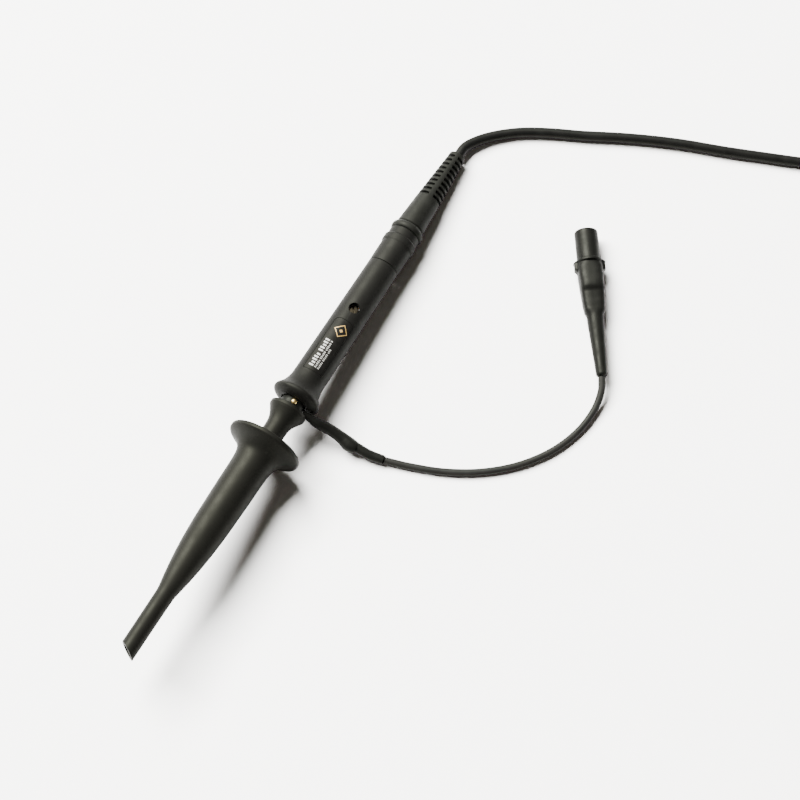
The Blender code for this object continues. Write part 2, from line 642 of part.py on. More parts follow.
def clip_jaws(clip, finishes):
    pivot = (-PIVOT_BACK, 0, 0)
    sideways = (0, 0, math.pi / 2)
    pin_radius = 0.35 * MM
    tongue = 0.8 * MM
    hole = cylinder_cutter("jaw_hole_cutter", pin_radius + FIT, 6 * MM, clip, pivot, sideways, segments=16)

    lower = prism("clip_lower_jaw", jaw_outline(-1), JAW_WIDTH, finishes["bright_metal"], clip)
    slot = block_cutter("lower_slot_cutter", (4.4 * MM, tongue + 2 * FIT, 2.0 * MM), clip,
                        (-PIVOT_BACK, 0, 0.06 * MM))
    boolean(lower, slot)
    boolean(lower, hole)

    raised = [(x + PIVOT_BACK, z) for x, z in jaw_outline(1)]
    upper = prism("clip_upper_jaw", raised, JAW_WIDTH, finishes["bright_metal"], clip, pivot)
    for side in (-1, 1):
        flank = block_cutter(f"upper_flank_cutter_{side}", (4.4 * MM, JAW_WIDTH, 2.0 * MM), clip,
                             (-PIVOT_BACK, side * (JAW_WIDTH + tongue) / 2, 0))
        boolean(upper, flank)
    boolean(upper, hole)

    turned("clip_pin", [
        (-JAW_WIDTH / 2 + FIT, 0), (-JAW_WIDTH / 2 + FIT, pin_radius),
        (JAW_WIDTH / 2 - FIT, pin_radius), (JAW_WIDTH / 2 - FIT, 0),
    ], finishes["bright_metal"], clip, pivot, sideways, segments=16)
    spring_turns = 3.5
    low, high = -1.05 * MM, 1.05 * MM
    coil = wire("clip_spring", helix(low, (high - low) / spring_turns, spring_turns, 0.75 * MM),
                0.14 * MM, finishes["bright_metal"], clip, sides=1)
    coil.location = (-18.2 * MM, 0, 0)
    coil.rotation_euler = (0, -math.pi / 2, 0)
    turned("clip_crimp", tube_profile(-26.8 * MM, -22.4 * MM, LEAD_WIRE_RADIUS + FIT, 1.45 * MM),
           finishes["bright_metal"], clip, segments=16)
    turned("lead_core", [
        (-CLIP_LENGTH + FIT, 0), (-CLIP_LENGTH + FIT, LEAD_WIRE_RADIUS),
        (-22.6 * MM, LEAD_WIRE_RADIUS), (-22.6 * MM, 0),
    ], finishes["cable_black"], clip, segments=12)


# ---------------------------------------------------------------- cable, coil and plug


def coil(finishes):
    """The spare cable, wound into a ring, with the tie that holds it."""
    inner, outer = COIL_RADIUS - COIL_WIDTH / 2, COIL_RADIUS + COIL_WIDTH / 2
    corner = CABLE_RADIUS
    low, high = COIL_FOOT, COIL_FOOT + COIL_HEIGHT
    profile = [
        (low, inner + corner), (low, outer - corner), (low + corner, outer), (high - corner, outer),
        (high, outer - corner), (high, inner + corner), (high - corner, inner), (low + corner, inner),
    ]
    upright = (0, -math.pi / 2, 0)
    centre = (*COIL_CENTRE, 0)
    turned("cable_coil", profile, finishes["cable_black"], None, centre, upright, segments=40)

    hole_width, hole_height = COIL_WIDTH + 2 * GAP, COIL_HEIGHT + 2 * GAP
    tie = block("coil_tie", (hole_width + 2 * TIE_THICKNESS, TIE_WIDTH, hole_height + 2 * TIE_THICKNESS),
                finishes["rubber"], None,
                (COIL_CENTRE[0] + COIL_RADIUS, COIL_CENTRE[1], COIL_FOOT + COIL_HEIGHT / 2))
    boolean(tie, block_cutter("tie_cutter", (hole_width, TIE_WIDTH + OVERCUT, hole_height), None,
                              tie.location))


def plug(frame, finishes):
    """The BNC plug. Local X runs out of its mouth, and x = 0 is the nut's front rim."""
    turned("plug_body", [
        (-17.5 * MM, 2.3 * MM), (-17.5 * MM, 5.4 * MM), (-13.4 * MM, 5.4 * MM), (-13.0 * MM, 5.0 * MM),
        (-5.6 * MM, 5.0 * MM), (-5.6 * MM, 4.3 * MM), (-9.2 * MM, 4.3 * MM), (-9.2 * MM, 2.3 * MM),
    ], finishes["nickel"], frame)
    sleeve = turned("plug_ground_sleeve", tube_profile(-9.0 * MM, -1.0 * MM, 3.75 * MM, 4.15 * MM),
                    finishes["nickel"], frame)
    for index in range(2):
        boolean(sleeve, block_cutter(
            f"finger_cutter_{index}", (6.5 * MM, 12 * MM, 0.4 * MM), frame, (-2.2 * MM, 0, 0),
            (math.pi / 4 + index * math.pi / 2, 0, 0),
        ))
    turned("plug_insulator", [
        (-16.5 * MM, 0.8 * MM), (-16.5 * MM, 2.2 * MM), (-9.3 * MM, 2.2 * MM), (-9.1 * MM, 2.2 * MM),
        (-5.0 * MM, 2.2 * MM), (-5.0 * MM, 0.8 * MM),
    ], finishes["white_plastic"], frame, segments=20)
    turned("plug_pin", [
        (-16.0 * MM, 0), (-16.0 * MM, 0.68 * MM), (-2.6 * MM, 0.68 * MM), (-1.8 * MM, 0.35 * MM),
        (-1.6 * MM, 0),
    ], finishes["gold"], frame, segments=16)
    turned("plug_gasket", tube_profile(-9.0 * MM, -8.1 * MM, 2.35 * MM, 3.6 * MM), finishes["rubber"],
           frame, segments=24)
    turned("plug_spring_washer", tube_profile(-12.6 * MM, -12.2 * MM, 5.15 * MM, 6.0 * MM),
           finishes["bright_metal"], frame, segments=24)
    coupling_nut(frame, finishes)
    turned("plug_ferrule", tube_profile(-25.5 * MM, -17.7 * MM, CABLE_RADIUS + FIT, 2.7 * MM),
           finishes["nickel"], frame, segments=20)
    turned("plug_boot", [
        (-18.2 * MM, 2.85 * MM), (-18.2 * MM, 4.8 * MM), (-18.6 * MM, 5.1 * MM), (-24.5 * MM, 4.9 * MM),
        (-27.0 * MM, 4.0 * MM), (-36.6 * MM, 2.5 * MM), (-37.0 * MM, 2.3 * MM),
        (-37.0 * MM, CABLE_RADIUS + FIT), (-26.0 * MM, CABLE_RADIUS + FIT), (-26.0 * MM, 2.85 * MM),
    ], finishes["rubber"], frame)
    turned("plug_core", [
        (-37.0 * MM, 0), (-37.0 * MM, CABLE_RADIUS), (-18.0 * MM, CABLE_RADIUS), (-18.0 * MM, 0),
    ], finishes["cable_black"], frame, segments=16)


def coupling_nut(frame, finishes):
    """The bayonet nut, which spins on the plug body and has two locking slots."""
    nut = turned("plug_nut", [
        (0, 5.75 * MM), (0, PLUG_NUT_RADIUS - 0.3 * MM), (-0.4 * MM, PLUG_NUT_RADIUS - 0.05 * MM),
        (-3.4 * MM, PLUG_NUT_RADIUS - 0.05 * MM), (-3.6 * MM, 6.9 * MM), (-5.2 * MM, 6.9 * MM),
        (-5.4 * MM, PLUG_NUT_RADIUS), (-13.6 * MM, PLUG_NUT_RADIUS), (-14.0 * MM, 7.0 * MM),
        (-14.0 * MM, 5.6 * MM), (-13.2 * MM, 5.6 * MM), (-12.9 * MM, 6.15 * MM), (-12.0 * MM, 6.15 * MM),
        (-12.0 * MM, 5.15 * MM), (-10.4 * MM, 5.15 * MM), (-10.4 * MM, 5.75 * MM),
    ], finishes["nickel"], frame)
    for side in (-1, 1):
        entry = block_cutter(f"bayonet_entry_{side}", (5.0 * MM, 2.2 * MM, 6.0 * MM), frame,
                             (-2.0 * MM, 0, side * 8.2 * MM))
        track = block_cutter(f"bayonet_track_{side}", (2.2 * MM, 6.4 * MM, 5.0 * MM), frame,
                             (-4.6 * MM, side * 2.4 * MM, side * 8.2 * MM), (0, 0, side * math.radians(24)))
        boolean(nut, entry)
        boolean(nut, track)


# ---------------------------------------------------------------- the whole probe


def build():
    clear_scene()
    finishes = {
        "gloss_black": finish_of("gloss_black", (0.022, 0.022, 0.02), 0.32),
        "satin_black": finish_of("satin_black", (0.02, 0.02, 0.018), 0.5),
        "rubber": finish_of("rubber", (0.018, 0.018, 0.017), 0.65),
        "cable_black": finish_of("cable_black", (0.02, 0.02, 0.02), 0.45),
        "label_black": finish_of("label_black", (0.03, 0.03, 0.028), 0.6),
        "grey_plastic": finish_of("grey_plastic", (0.08, 0.08, 0.08), 0.5),
        "white_plastic": finish_of("white_plastic", (0.8, 0.79, 0.75), 0.45),
        "board_green": finish_of("board_green", (0.02, 0.16, 0.06), 0.4),
        "resistor_blue": finish_of("resistor_blue", (0.1, 0.3, 0.5), 0.4),
        "nickel": finish_of("nickel", (0.62, 0.6, 0.56), 0.25, 1.0),
        "bright_metal": finish_of("bright_metal", (0.7, 0.69, 0.66), 0.2, 1.0),
        "brass": finish_of("brass", (0.75, 0.58, 0.26), 0.3, 1.0),
        "gold": finish_of("gold", (0.9, 0.68, 0.28), 0.22, 1.0),
    }
    probe = empty("probe_frame", (PROBE_X, 0, PROBE_HEIGHT), (-ROLL, -PITCH, 0))
    clip = empty("clip_frame", CLIP_MOUTH, (0, 0, CLIP_HEADING))
    plug_frame = empty("plug_frame", PLUG_FACE)
    bpy.context.view_layer.update()

    for make in (hook_sleeve, hook_carrier, contact_socket, hook_wire, hook_spring):
        make(probe, finishes)
    for make in (nose, front_body, label_plate, rear_body, electronics, trimmer_screw, switch_slider):
        make(probe, finishes)
    for make in (shield_tube, cable_end, ground_ring):
        make(probe, finishes)
    ground_arm(probe.matrix_world, finishes)
    cord("ground_wire", LEAD_ROUTE_MM, LEAD_WIRE_RADIUS, finishes["cable_black"])
    clip_boot(clip, finishes)
    clip_jaws(clip, finishes)
    cord("probe_cable", CABLE_ROUTE_MM, CABLE_RADIUS, finishes["cable_black"])
    coil(finishes)
    cord("cable_tail", TAIL_ROUTE_MM, CABLE_RADIUS, finishes["cable_black"])
    plug(plug_frame, finishes)


build()
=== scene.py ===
"""The looks of a passive oscilloscope probe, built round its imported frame.

Turned pieces are outlines of (along, radius) points in millimetres. On the probe, "along" is the
distance along its axis from the flange's rim, positive towards the tip. On the clip it is measured
from the boot's mouth, and on the plug from the coupling nut's front rim.
"""

import json
import math

import bmesh
import bpy
from mathutils import Matrix, Vector


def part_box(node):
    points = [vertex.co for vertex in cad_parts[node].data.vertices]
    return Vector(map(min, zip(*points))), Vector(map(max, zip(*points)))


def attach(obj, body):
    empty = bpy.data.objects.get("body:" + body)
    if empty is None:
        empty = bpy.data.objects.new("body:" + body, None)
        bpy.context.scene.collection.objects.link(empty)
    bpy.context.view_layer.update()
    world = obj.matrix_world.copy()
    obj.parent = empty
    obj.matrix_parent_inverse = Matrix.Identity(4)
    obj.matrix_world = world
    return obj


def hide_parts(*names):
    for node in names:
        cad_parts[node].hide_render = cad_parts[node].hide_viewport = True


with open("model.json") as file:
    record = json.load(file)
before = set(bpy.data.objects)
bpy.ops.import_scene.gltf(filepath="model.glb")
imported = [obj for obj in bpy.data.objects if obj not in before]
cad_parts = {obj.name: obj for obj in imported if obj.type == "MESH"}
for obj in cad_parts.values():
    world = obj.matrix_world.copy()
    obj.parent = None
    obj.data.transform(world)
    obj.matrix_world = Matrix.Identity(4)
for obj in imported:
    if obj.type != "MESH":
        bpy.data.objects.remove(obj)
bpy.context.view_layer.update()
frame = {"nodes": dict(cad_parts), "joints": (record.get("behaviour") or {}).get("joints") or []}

MM = 0.001

# How many sides the turned pieces have.
FINE = 128
MEDIUM = 72
SMALL = 40

# The camera: where it looks on the table, from which side, and how far away.
CAMERA_TARGET = Vector((-0.01384, 0.02263, 0))
CAMERA_AZIMUTH = math.radians(29.83)
CAMERA_ELEVATION = math.radians(67.99)
CAMERA_DISTANCE = 0.5214
CAMERA_LENS = 85.5
SENSOR_WIDTH = 36.0

# One large soft box lights the table from the far left, and a little warm light fills the room.
KEY_AZIMUTH = math.radians(-105.0)
KEY_ELEVATION = math.radians(50.5)
KEY_DISTANCE = 2.7
KEY_SIZE = (2.16, 1.56)
KEY_POWER = 830.0
KEY_COLOUR = (1.0, 0.99, 0.97)
ROOM_COLOUR = (1.0, 0.87, 0.76, 1.0)
ROOM_STRENGTH = 0.08
FLOOR_HALF = 9.0

# The cords, in millimetres apart from the cable's real length in metres. The coil's radii are to
# the middle of its turns, and its tie reaches over them as far as TIED_RADIUS.
CABLE_RADIUS = 1.5
LEAD_WIRE_RADIUS = 1.0
COIL_TURNS = 10.14
COIL_LAYERS = 4
COIL_START = math.radians(200.4)
COIL_OUTER = 19.85
COIL_INNER = 12.1
TIED_RADIUS = 20.0
COIL_LOWEST = 2.42
COIL_RISE = 3.05
CABLE_ROUTE = [
    (-86.9, 0.0, 2.64), (-91.5, 0.6, 2.25), (-97.3, 4.6, 1.75), (-103.0, 11.3, 1.55),
    (-107.3, 19.0, 1.55), (-111.4, 28.0, 1.55), (-117.2, 39.8, 1.55), (-122.6, 52.6, 1.55),
    (-127.2, 66.0, 1.55), (-132.2, 79.5, 1.55), (-137.6, 94.0, 1.6), (-142.1, 107.3, 1.9),
]
TAIL_ROUTE = [
    (-138.9, 144.9, 10.3), (-136.0, 150.2, 9.3), (-131.2, 154.6, 8.1), (-125.5, 157.1, 7.35),
    (-119.3, 157.5, 7.25),
]
LEAD_ROUTE = [
    (4.0, 28.0, 1.35), (2.0, 34.8, 1.1), (-1.2, 43.4, 1.05), (-6.0, 52.0, 1.05), (-12.6, 59.8, 1.05),
    (-20.6, 65.8, 1.05), (-29.0, 69.3, 1.1), (-36.6, 70.4, 1.6), (-42.2, 69.7, 2.8), (-46.0, 67.9, 3.6),
]

# Places along the probe's axis, and the label's size.
LABEL_CENTRE = -32.7
LABEL_LENGTH = 18.0
LABEL_WIDTH = 5.7
TRIMMER_AT = -46.1
SEAM = -63.1
SWITCH_AT = -40.0
SWITCH_TRAVEL = 2.5
PRINT_DEPTH = 0.04

# The strain relief's slots.
SLOT_COUNT = 10
SLOT_PITCH = 1.68
SLOT_FIRST = -89.2
SLOT_HALF = 0.42
SLOT_EDGE = 0.05
SLOT_DEPTH = 0.85

# The boot's grip: (along, half height, half width, squareness), where 2 is a plain ellipse.
GRIP_SECTIONS = [
    (-10.1, 3.1, 3.6, 2.4), (-11.5, 3.1, 3.6, 3.2), (-14.0, 3.35, 3.55, 3.4), (-17.0, 3.65, 3.45, 3.2),
    (-17.8, 3.6, 3.42, 3.2), (-19.2, 2.85, 3.35, 3.2), (-22.0, 2.65, 3.2, 3.2), (-24.6, 2.5, 2.95, 3.0),
    (-25.4, 2.45, 2.68, 2.4), (-26.2, 2.4, 2.42, 2.0),
]

# Matt black mouldings reflect far less than the usual four per cent.
DULL_SPECULAR = 0.05

JOINTS = {joint["name"]: joint for joint in frame["joints"]}


# -------- frames of the probe, clip and plug


def axes_at(place, ahead, up):
    """The matrix whose X runs ahead and whose Z runs up, at a place."""
    ahead = Vector(ahead).normalized()
    side = Vector(up).cross(ahead).normalized()
    matrix = Matrix((ahead, side, ahead.cross(side))).transposed().to_4x4()
    matrix.translation = Vector(place)
    return matrix


UP = Vector((0, 0, 1))
CLIP_AHEAD = UP.cross(Vector(JOINTS["clip_open"]["axis"]))
PIVOT_TO_MOUTH = 13.0 * MM
PROBE = axes_at(
    JOINTS["hook_pull_off"]["pos_m"], JOINTS["hook_pull_off"]["axis"], JOINTS["trimmer_turn"]["axis"],
)
CLIP = axes_at(Vector(JOINTS["clip_open"]["pos_m"]) + PIVOT_TO_MOUTH * CLIP_AHEAD, CLIP_AHEAD, UP)
PLUG = axes_at(JOINTS["nut_turn"]["pos_m"], JOINTS["nut_turn"]["axis"], UP)
WORLD = Matrix.Identity(4)


def upright(along):
    """A frame on the probe's axis whose X points up through the label and the trimmer hole."""
    return PROBE @ Matrix.Translation((along * MM, 0, 0)) @ Matrix.Rotation(-math.pi / 2, 4, "Y")


# -------- shader nodes


def set_inputs(tree, made, inputs):
    for key, value in inputs.items():
        if isinstance(value, bpy.types.NodeSocket):
            tree.links.new(value, made.inputs[key])
        else:
            made.inputs[key].default_value = value


def add_node(tree, kind, inputs, **settings):
    made = tree.nodes.new(kind)
    for key, value in settings.items():
        setattr(made, key, value)
    set_inputs(tree, made, inputs)
    return made


def coordinates(tree, stretch=(1, 1, 1)):
    """The piece's own coordinates, which ride with it, stretched for grain that runs one way."""
    source = tree.nodes.new("ShaderNodeTexCoord").outputs["Object"]
    if tuple(stretch) == (1, 1, 1):
        return source
    return add_node(tree, "ShaderNodeMapping", {"Vector": source, "Scale": stretch}).outputs["Vector"]


def noise(tree, vector, scale, detail=3.0, roughness=0.5, distortion=0.0):
    made = add_node(tree, "ShaderNodeTexNoise", {
        "Vector": vector, "Scale": scale, "Detail": detail, "Roughness": roughness,
        "Distortion": distortion,
    })
    return made.outputs["Fac"]


def between(tree, value, low, high, out_low, out_high):
    made = add_node(tree, "ShaderNodeMapRange", {
        "Value": value, "From Min": low, "From Max": high, "To Min": out_low, "To Max": out_high,
    })
    return made.outputs["Result"]


def mixed(tree, share, first, second):
    made = add_node(tree, "ShaderNodeMix", {}, data_type="RGBA")
    set_inputs(tree, made, {0: share, 6: first, 7: second})
    return made.outputs[2]


def combined(tree, operation, first, second):
    return add_node(tree, "ShaderNodeMath", {0: first, 1: second}, operation=operation).outputs[0]


def bump(tree, height, strength, distance, under=None):
    inputs = {"Height": height, "Strength": strength, "Distance": distance}
    if under is not None:
        inputs["Normal"] = under
    return add_node(tree, "ShaderNodeBump", inputs).outputs["Normal"]


def shaded(colour, factor):
    return (*[min(1.0, channel * factor) for channel in colour[:3]], 1.0)


def surface(tree, shader, base, rough, normal):
    set_inputs(tree, shader, {"Base Color": base, "Roughness": rough, "Normal": normal})


def dull(shader, tint):
    """Weakens a matt black's reflection, and tints it."""
    shader.inputs["Specular Tint"].default_value = (*tint, 1.0)
    shader.inputs["Specular IOR Level"].default_value = DULL_SPECULAR


def new_material(name):
    material = bpy.data.materials.new(name)
    material.use_nodes = True
    tree = material.node_tree
    return material, tree, tree.nodes["Principled BSDF"]


# -------- materials


def edge_wear(tree):
    """1 along a piece's worn convex edges, 0 elsewhere."""
    pointed = tree.nodes.new("ShaderNodeNewGeometry").outputs["Pointiness"]
    patches = noise(tree, coordinates(tree), 900.0, 4.0)
    worn = between(tree, pointed, 0.53, 0.62, 0.0, 1.0)
    return combined(tree, "MULTIPLY", worn, between(tree, patches, 0.35, 0.7, 0.0, 1.0))


def moulded_plastic(name, colour, roughness, grain=0.35, grain_scale=5200.0, tint=(0.97, 1.0, 0.82)):
    """Injection-moulded plastic: fine spark-eroded grain, faint flow marks and paler worn edges."""
    material, tree, shader = new_material(name)
    vector = coordinates(tree)
    flow = noise(tree, coordinates(tree, (0.35, 1, 1)), 110.0, 3.0, 0.55)
    grains = noise(tree, vector, grain_scale, 2.0, 0.6)
    handled = noise(tree, vector, 260.0, 5.0, 0.62)
    base = mixed(tree, between(tree, flow, 0.3, 0.7, 0.0, 1.0), shaded(colour, 0.82), shaded(colour, 1.22))
    base = mixed(tree, between(tree, grains, 0.55, 0.75, 0.0, 0.35), base, shaded(colour, 1.8))
    base = mixed(tree, combined(tree, "MULTIPLY", edge_wear(tree), 0.5), base, shaded(colour, 3.2))
    rough = between(tree, handled, 0.3, 0.72, roughness - 0.07, roughness + 0.08)
    fine = bump(tree, grains, grain, 0.00003)
    normal = bump(tree, flow, 0.1, 0.0002, fine)
    surface(tree, shader, base, rough, normal)
    dull(shader, tint)
    return material


def soft_pvc(name, colour, roughness, grain_scale=3800.0):
    """Soft moulded PVC or rubber: a dull skin with fine pores, specks of dust and rubbed spots."""
    material, tree, shader = new_material(name)
    vector = coordinates(tree)
    cloudy = noise(tree, vector, 170.0, 4.0, 0.6)
    pores = noise(tree, vector, grain_scale, 3.0, 0.65)
    rubbed = noise(tree, vector, 480.0, 3.0, 0.5, 0.4)
    dust = noise(tree, vector, 2100.0, 5.0, 0.7)
    share = between(tree, cloudy, 0.3, 0.7, 0.0, 1.0)
    base = mixed(tree, share, shaded(colour, 0.78), shaded(colour, 1.25))
    base = mixed(tree, between(tree, dust, 0.62, 0.8, 0.0, 0.35), base, shaded(colour, 3.0))
    rough = between(tree, rubbed, 0.3, 0.7, roughness - 0.1, roughness + 0.08)
    normal = bump(tree, cloudy, 0.12, 0.0003, bump(tree, pores, 0.4, 0.00004))
    surface(tree, shader, base, rough, normal)
    dull(shader, (0.97, 1.0, 0.84))
    return material


def cable_jacket(name, colour, roughness):
    """An extruded jacket: smooth and satin, with faint smears from handling."""
    material, tree, shader = new_material(name)
    vector = coordinates(tree)
    smears = noise(tree, vector, 140.0, 5.0, 0.6, 0.6)
    skin = noise(tree, vector, 2600.0, 2.0, 0.5)
    base = mixed(tree, between(tree, smears, 0.3, 0.7, 0.0, 1.0), shaded(colour, 0.85), shaded(colour, 1.3))
    rough = between(tree, smears, 0.3, 0.7, roughness - 0.08, roughness + 0.1)
    surface(tree, shader, base, rough, bump(tree, skin, 0.25, 0.00003))
    dull(shader, (0.97, 1.0, 0.86))
    return material


def turned_metal(name, colour, roughness, ring_scale=5200.0):
    """Plated metal from a lathe: fine rings along its axis, tarnish and small scratches."""
    material, tree, shader = new_material(name)
    rings = noise(tree, coordinates(tree, (1, 0.02, 0.02)), ring_scale, 2.0, 0.6)
    scratches = noise(tree, coordinates(tree, (0.12, 1, 0.5)), 2400.0, 3.0, 0.7)
    tarnish = noise(tree, coordinates(tree), 240.0, 5.0, 0.65)
    base = mixed(tree, between(tree, tarnish, 0.35, 0.75, 0.0, 0.7), (*colour, 1.0), shaded(colour, 0.76))
    rough = combined(tree, "ADD", between(tree, tarnish, 0.3, 0.7, roughness, roughness + 0.1),
                     between(tree, scratches, 0.6, 0.75, 0.0, 0.1))
    normal = bump(tree, scratches, 0.02, 0.00002, bump(tree, rings, 0.06, 0.00002))
    surface(tree, shader, base, rough, normal)
    shader.inputs["Metallic"].default_value = 1.0
    return material


def white_insulator(name):
    """PTFE or nylon: waxy off-white that lets a little light in."""
    material, tree, shader = new_material(name)
    clouds = noise(tree, coordinates(tree), 300.0, 4.0, 0.6)
    skin = noise(tree, coordinates(tree), 3000.0, 2.0)
    share = between(tree, clouds, 0.3, 0.7, 0.0, 1.0)
    base = mixed(tree, share, (0.62, 0.6, 0.53, 1), (0.8, 0.78, 0.72, 1))
    rough = between(tree, clouds, 0.3, 0.7, 0.34, 0.46)
    normal = bump(tree, skin, 0.15, 0.00003)
    surface(tree, shader, base, rough, normal)
    shader.inputs["Subsurface Weight"].default_value = 0.12
    shader.inputs["Subsurface Radius"].default_value = (0.001, 0.0009, 0.0008)
    return material


def circuit_board_look(name):
    """Green solder mask over copper tracks."""
    material, tree, shader = new_material(name)
    tracks = add_node(tree, "ShaderNodeTexBrick", {
        "Vector": coordinates(tree), "Scale": 420.0, "Mortar Size": 0.06, "Mortar Smooth": 0.3,
        "Color1": (1, 1, 1, 1), "Color2": (0.8, 0.8, 0.8, 1), "Mortar": (0, 0, 0, 1),
    })
    mottled = noise(tree, coordinates(tree), 700.0, 4.0)
    base = mixed(tree, tracks.outputs["Fac"], (0.012, 0.11, 0.045, 1), (0.05, 0.27, 0.1, 1))
    base = mixed(tree, between(tree, mottled, 0.4, 0.7, 0.0, 0.4), base, (0.006, 0.07, 0.03, 1))
    normal = bump(tree, tracks.outputs["Fac"], 0.3, 0.00004)
    rough = between(tree, mottled, 0.3, 0.7, 0.25, 0.4)
    surface(tree, shader, base, rough, normal)
    return material


def lacquered_resistor(name):
    """Blue lacquer with plain colour bands round it."""
    material, tree, shader = new_material(name)
    bands = add_node(tree, "ShaderNodeTexWave", {
        "Vector": coordinates(tree), "Scale": 210.0, "Distortion": 0.2,
    }, bands_direction="X", wave_profile="SIN").outputs["Fac"]
    mottled = noise(tree, coordinates(tree), 900.0, 3.0)
    banded = between(tree, bands, 0.8, 0.86, 0.0, 1.0)
    base = mixed(tree, banded, (0.09, 0.26, 0.42, 1), (0.32, 0.09, 0.03, 1))
    rough = between(tree, mottled, 0.3, 0.7, 0.22, 0.36)
    normal = bump(tree, mottled, 0.15, 0.00005)
    surface(tree, shader, base, rough, normal)
    return material


def printed_ink(name, colour, metallic=0.0):
    """Screen-printed ink, slightly broken up where it wears."""
    material, tree, shader = new_material(name)
    wear = noise(tree, coordinates(tree), 2600.0, 5.0, 0.7)
    mottled = noise(tree, coordinates(tree), 900.0, 3.0)
    base = mixed(tree, between(tree, wear, 0.55, 0.72, 0.0, 0.55), (*colour, 1.0), shaded(colour, 0.35))
    rough = between(tree, mottled, 0.3, 0.7, 0.4, 0.55)
    normal = bump(tree, wear, 0.2, 0.00002)
    surface(tree, shader, base, rough, normal)
    shader.inputs["Metallic"].default_value = metallic
    return material


def make_looks():
    black = (0.004, 0.004, 0.0034)
    return {
        "sleeve": moulded_plastic("sleeve_plastic", black, 0.5, tint=(0.97, 1.0, 0.78)),
        "body": moulded_plastic("body_plastic", (0.0042, 0.0042, 0.0038), 0.52, grain=0.5),
        "label": moulded_plastic("label_foil", (0.0034, 0.0033, 0.003), 0.5, 0.25, 7000.0),
        "grey": moulded_plastic("grey_nylon", (0.045, 0.045, 0.042), 0.45),
        "rubber": soft_pvc("relief_rubber", (0.0058, 0.006, 0.0052), 0.52),
        "lead_rubber": soft_pvc("lead_rubber", (0.0036, 0.0037, 0.0033), 0.46),
        "strap": soft_pvc("strap_rubber", (0.006, 0.006, 0.006), 0.6, grain_scale=2600.0),
        "cable": cable_jacket("cable_jacket", (0.0034, 0.0034, 0.0032), 0.42),
        "lead": cable_jacket("lead_jacket", (0.0082, 0.0082, 0.0076), 0.45),
        "gasket": soft_pvc("gasket_silicone", (0.13, 0.03, 0.02), 0.5),
        "white": white_insulator("white_insulator"),
        "nickel": turned_metal("nickel_plate", (0.6, 0.57, 0.51), 0.24),
        "steel": turned_metal("spring_steel", (0.68, 0.66, 0.6), 0.2),
        "brass": turned_metal("turned_brass", (0.5, 0.37, 0.15), 0.3),
        # The trimmer rotor's brass is painted nearly black: painted shade for the deep hole it sits in.
        "brass_painted_shade": turned_metal("brass_painted_shade", (0.035, 0.03, 0.02), 0.36),
        "gold": turned_metal("gold_plate", (0.88, 0.64, 0.25), 0.2),
        "board": circuit_board_look("circuit_board_mask"),
        "resistor": lacquered_resistor("resistor_lacquer"),
        "white_ink": printed_ink("white_ink", (0.2, 0.2, 0.185)),
        "gold_ink": printed_ink("gold_ink", (0.26, 0.17, 0.055), 0.3),
    }


# -------- mesh work


def curved(points, steps=6):
    """A smooth line through the points, which have two or three coordinates each."""
    points = [Vector(point) for point in points]
    ends = [2 * points[0] - points[1], *points, 2 * points[-1] - points[-2]]
    line = []
    for before, start, end, after in zip(ends, ends[1:], ends[2:], ends[3:]):
        for step in range(steps):
            t = step / steps
            bend = 2 * before - 5 * start + 4 * end - after
            twist = 3 * start - before - 3 * end + after
            line.append(tuple(start + 0.5 * t * ((end - before) + t * (bend + t * twist))))
    return [*line, tuple(points[-1])]


def rounded(outline, steps=4):
    """The closed outline, with each corner given as (x, y, radius) turned into an arc."""
    line = []
    for index, corner in enumerate(outline):
        here = Vector(corner[:2])
        radius = corner[2] if len(corner) > 2 else 0.0
        if not radius:
            line.append(tuple(here))
            continue
        before = Vector(outline[index - 1][:2]) - here
        after = Vector(outline[(index + 1) % len(outline)][:2]) - here
        half_angle = max(before.angle(after) / 2, 0.1)
        reach = min(radius / math.tan(half_angle), 0.48 * before.length, 0.48 * after.length)
        start = here + before.normalized() * reach
        end = here + after.normalized() * reach
        for step in range(steps + 1):
            t = step / steps
            line.append(tuple((1 - t) ** 2 * start + 2 * t * (1 - t) * here + t * t * end))
    return line


def finished(bm, name, sharp=38.0):
    """The mesh, smooth but for its edges sharper than the given angle in degrees."""
    bmesh.ops.recalc_face_normals(bm, faces=bm.faces)
    mesh = bpy.data.meshes.new(name)
    bm.to_mesh(mesh)
    bm.free()
    mesh.shade_smooth()
    mesh.set_sharp_from_angle(angle=math.radians(sharp))
    return mesh


def join_rings(bm, ring, following):
    """Faces between two rings of vertices, either of which may be a single point."""
    count = max(len(ring), len(following))
    for index in range(count):
        after = (index + 1) % count
        corners = [ring[index % len(ring)], ring[after % len(ring)],
                   following[after % len(following)], following[index % len(following)]]
        corners = list(dict.fromkeys(corners))
        if len(corners) > 2:
            bm.faces.new(corners)


def turned(name, outline, segments=FINE, form=None, formed=None):
    """A solid of revolution about X. An outline that starts on the axis ends there too.

    form(along, angle, radius) may move the first "formed" rings' points, with the angle measured
    from the top towards the left side.
    """
    bm = bmesh.new()
    rings = []
    formed = len(outline) if formed is None else formed
    for index, (along, radius) in enumerate(outline):
        if radius < 0.001:
            rings.append([bm.verts.new((along * MM, 0, 0))])
            continue
        ring = []
        for turn in range(segments):
            angle = 2 * math.pi * turn / segments
            at, reach = form(along, angle, radius) if form and index < formed else (along, radius)
            ring.append(bm.verts.new((at * MM, reach * MM * math.sin(angle), reach * MM * math.cos(angle))))
        rings.append(ring)
    following = rings[1:] + rings[:1] if outline[0][1] >= 0.001 else rings[1:]
    for ring, after in zip(rings, following):
        join_rings(bm, ring, after)
    return finished(bm, name)


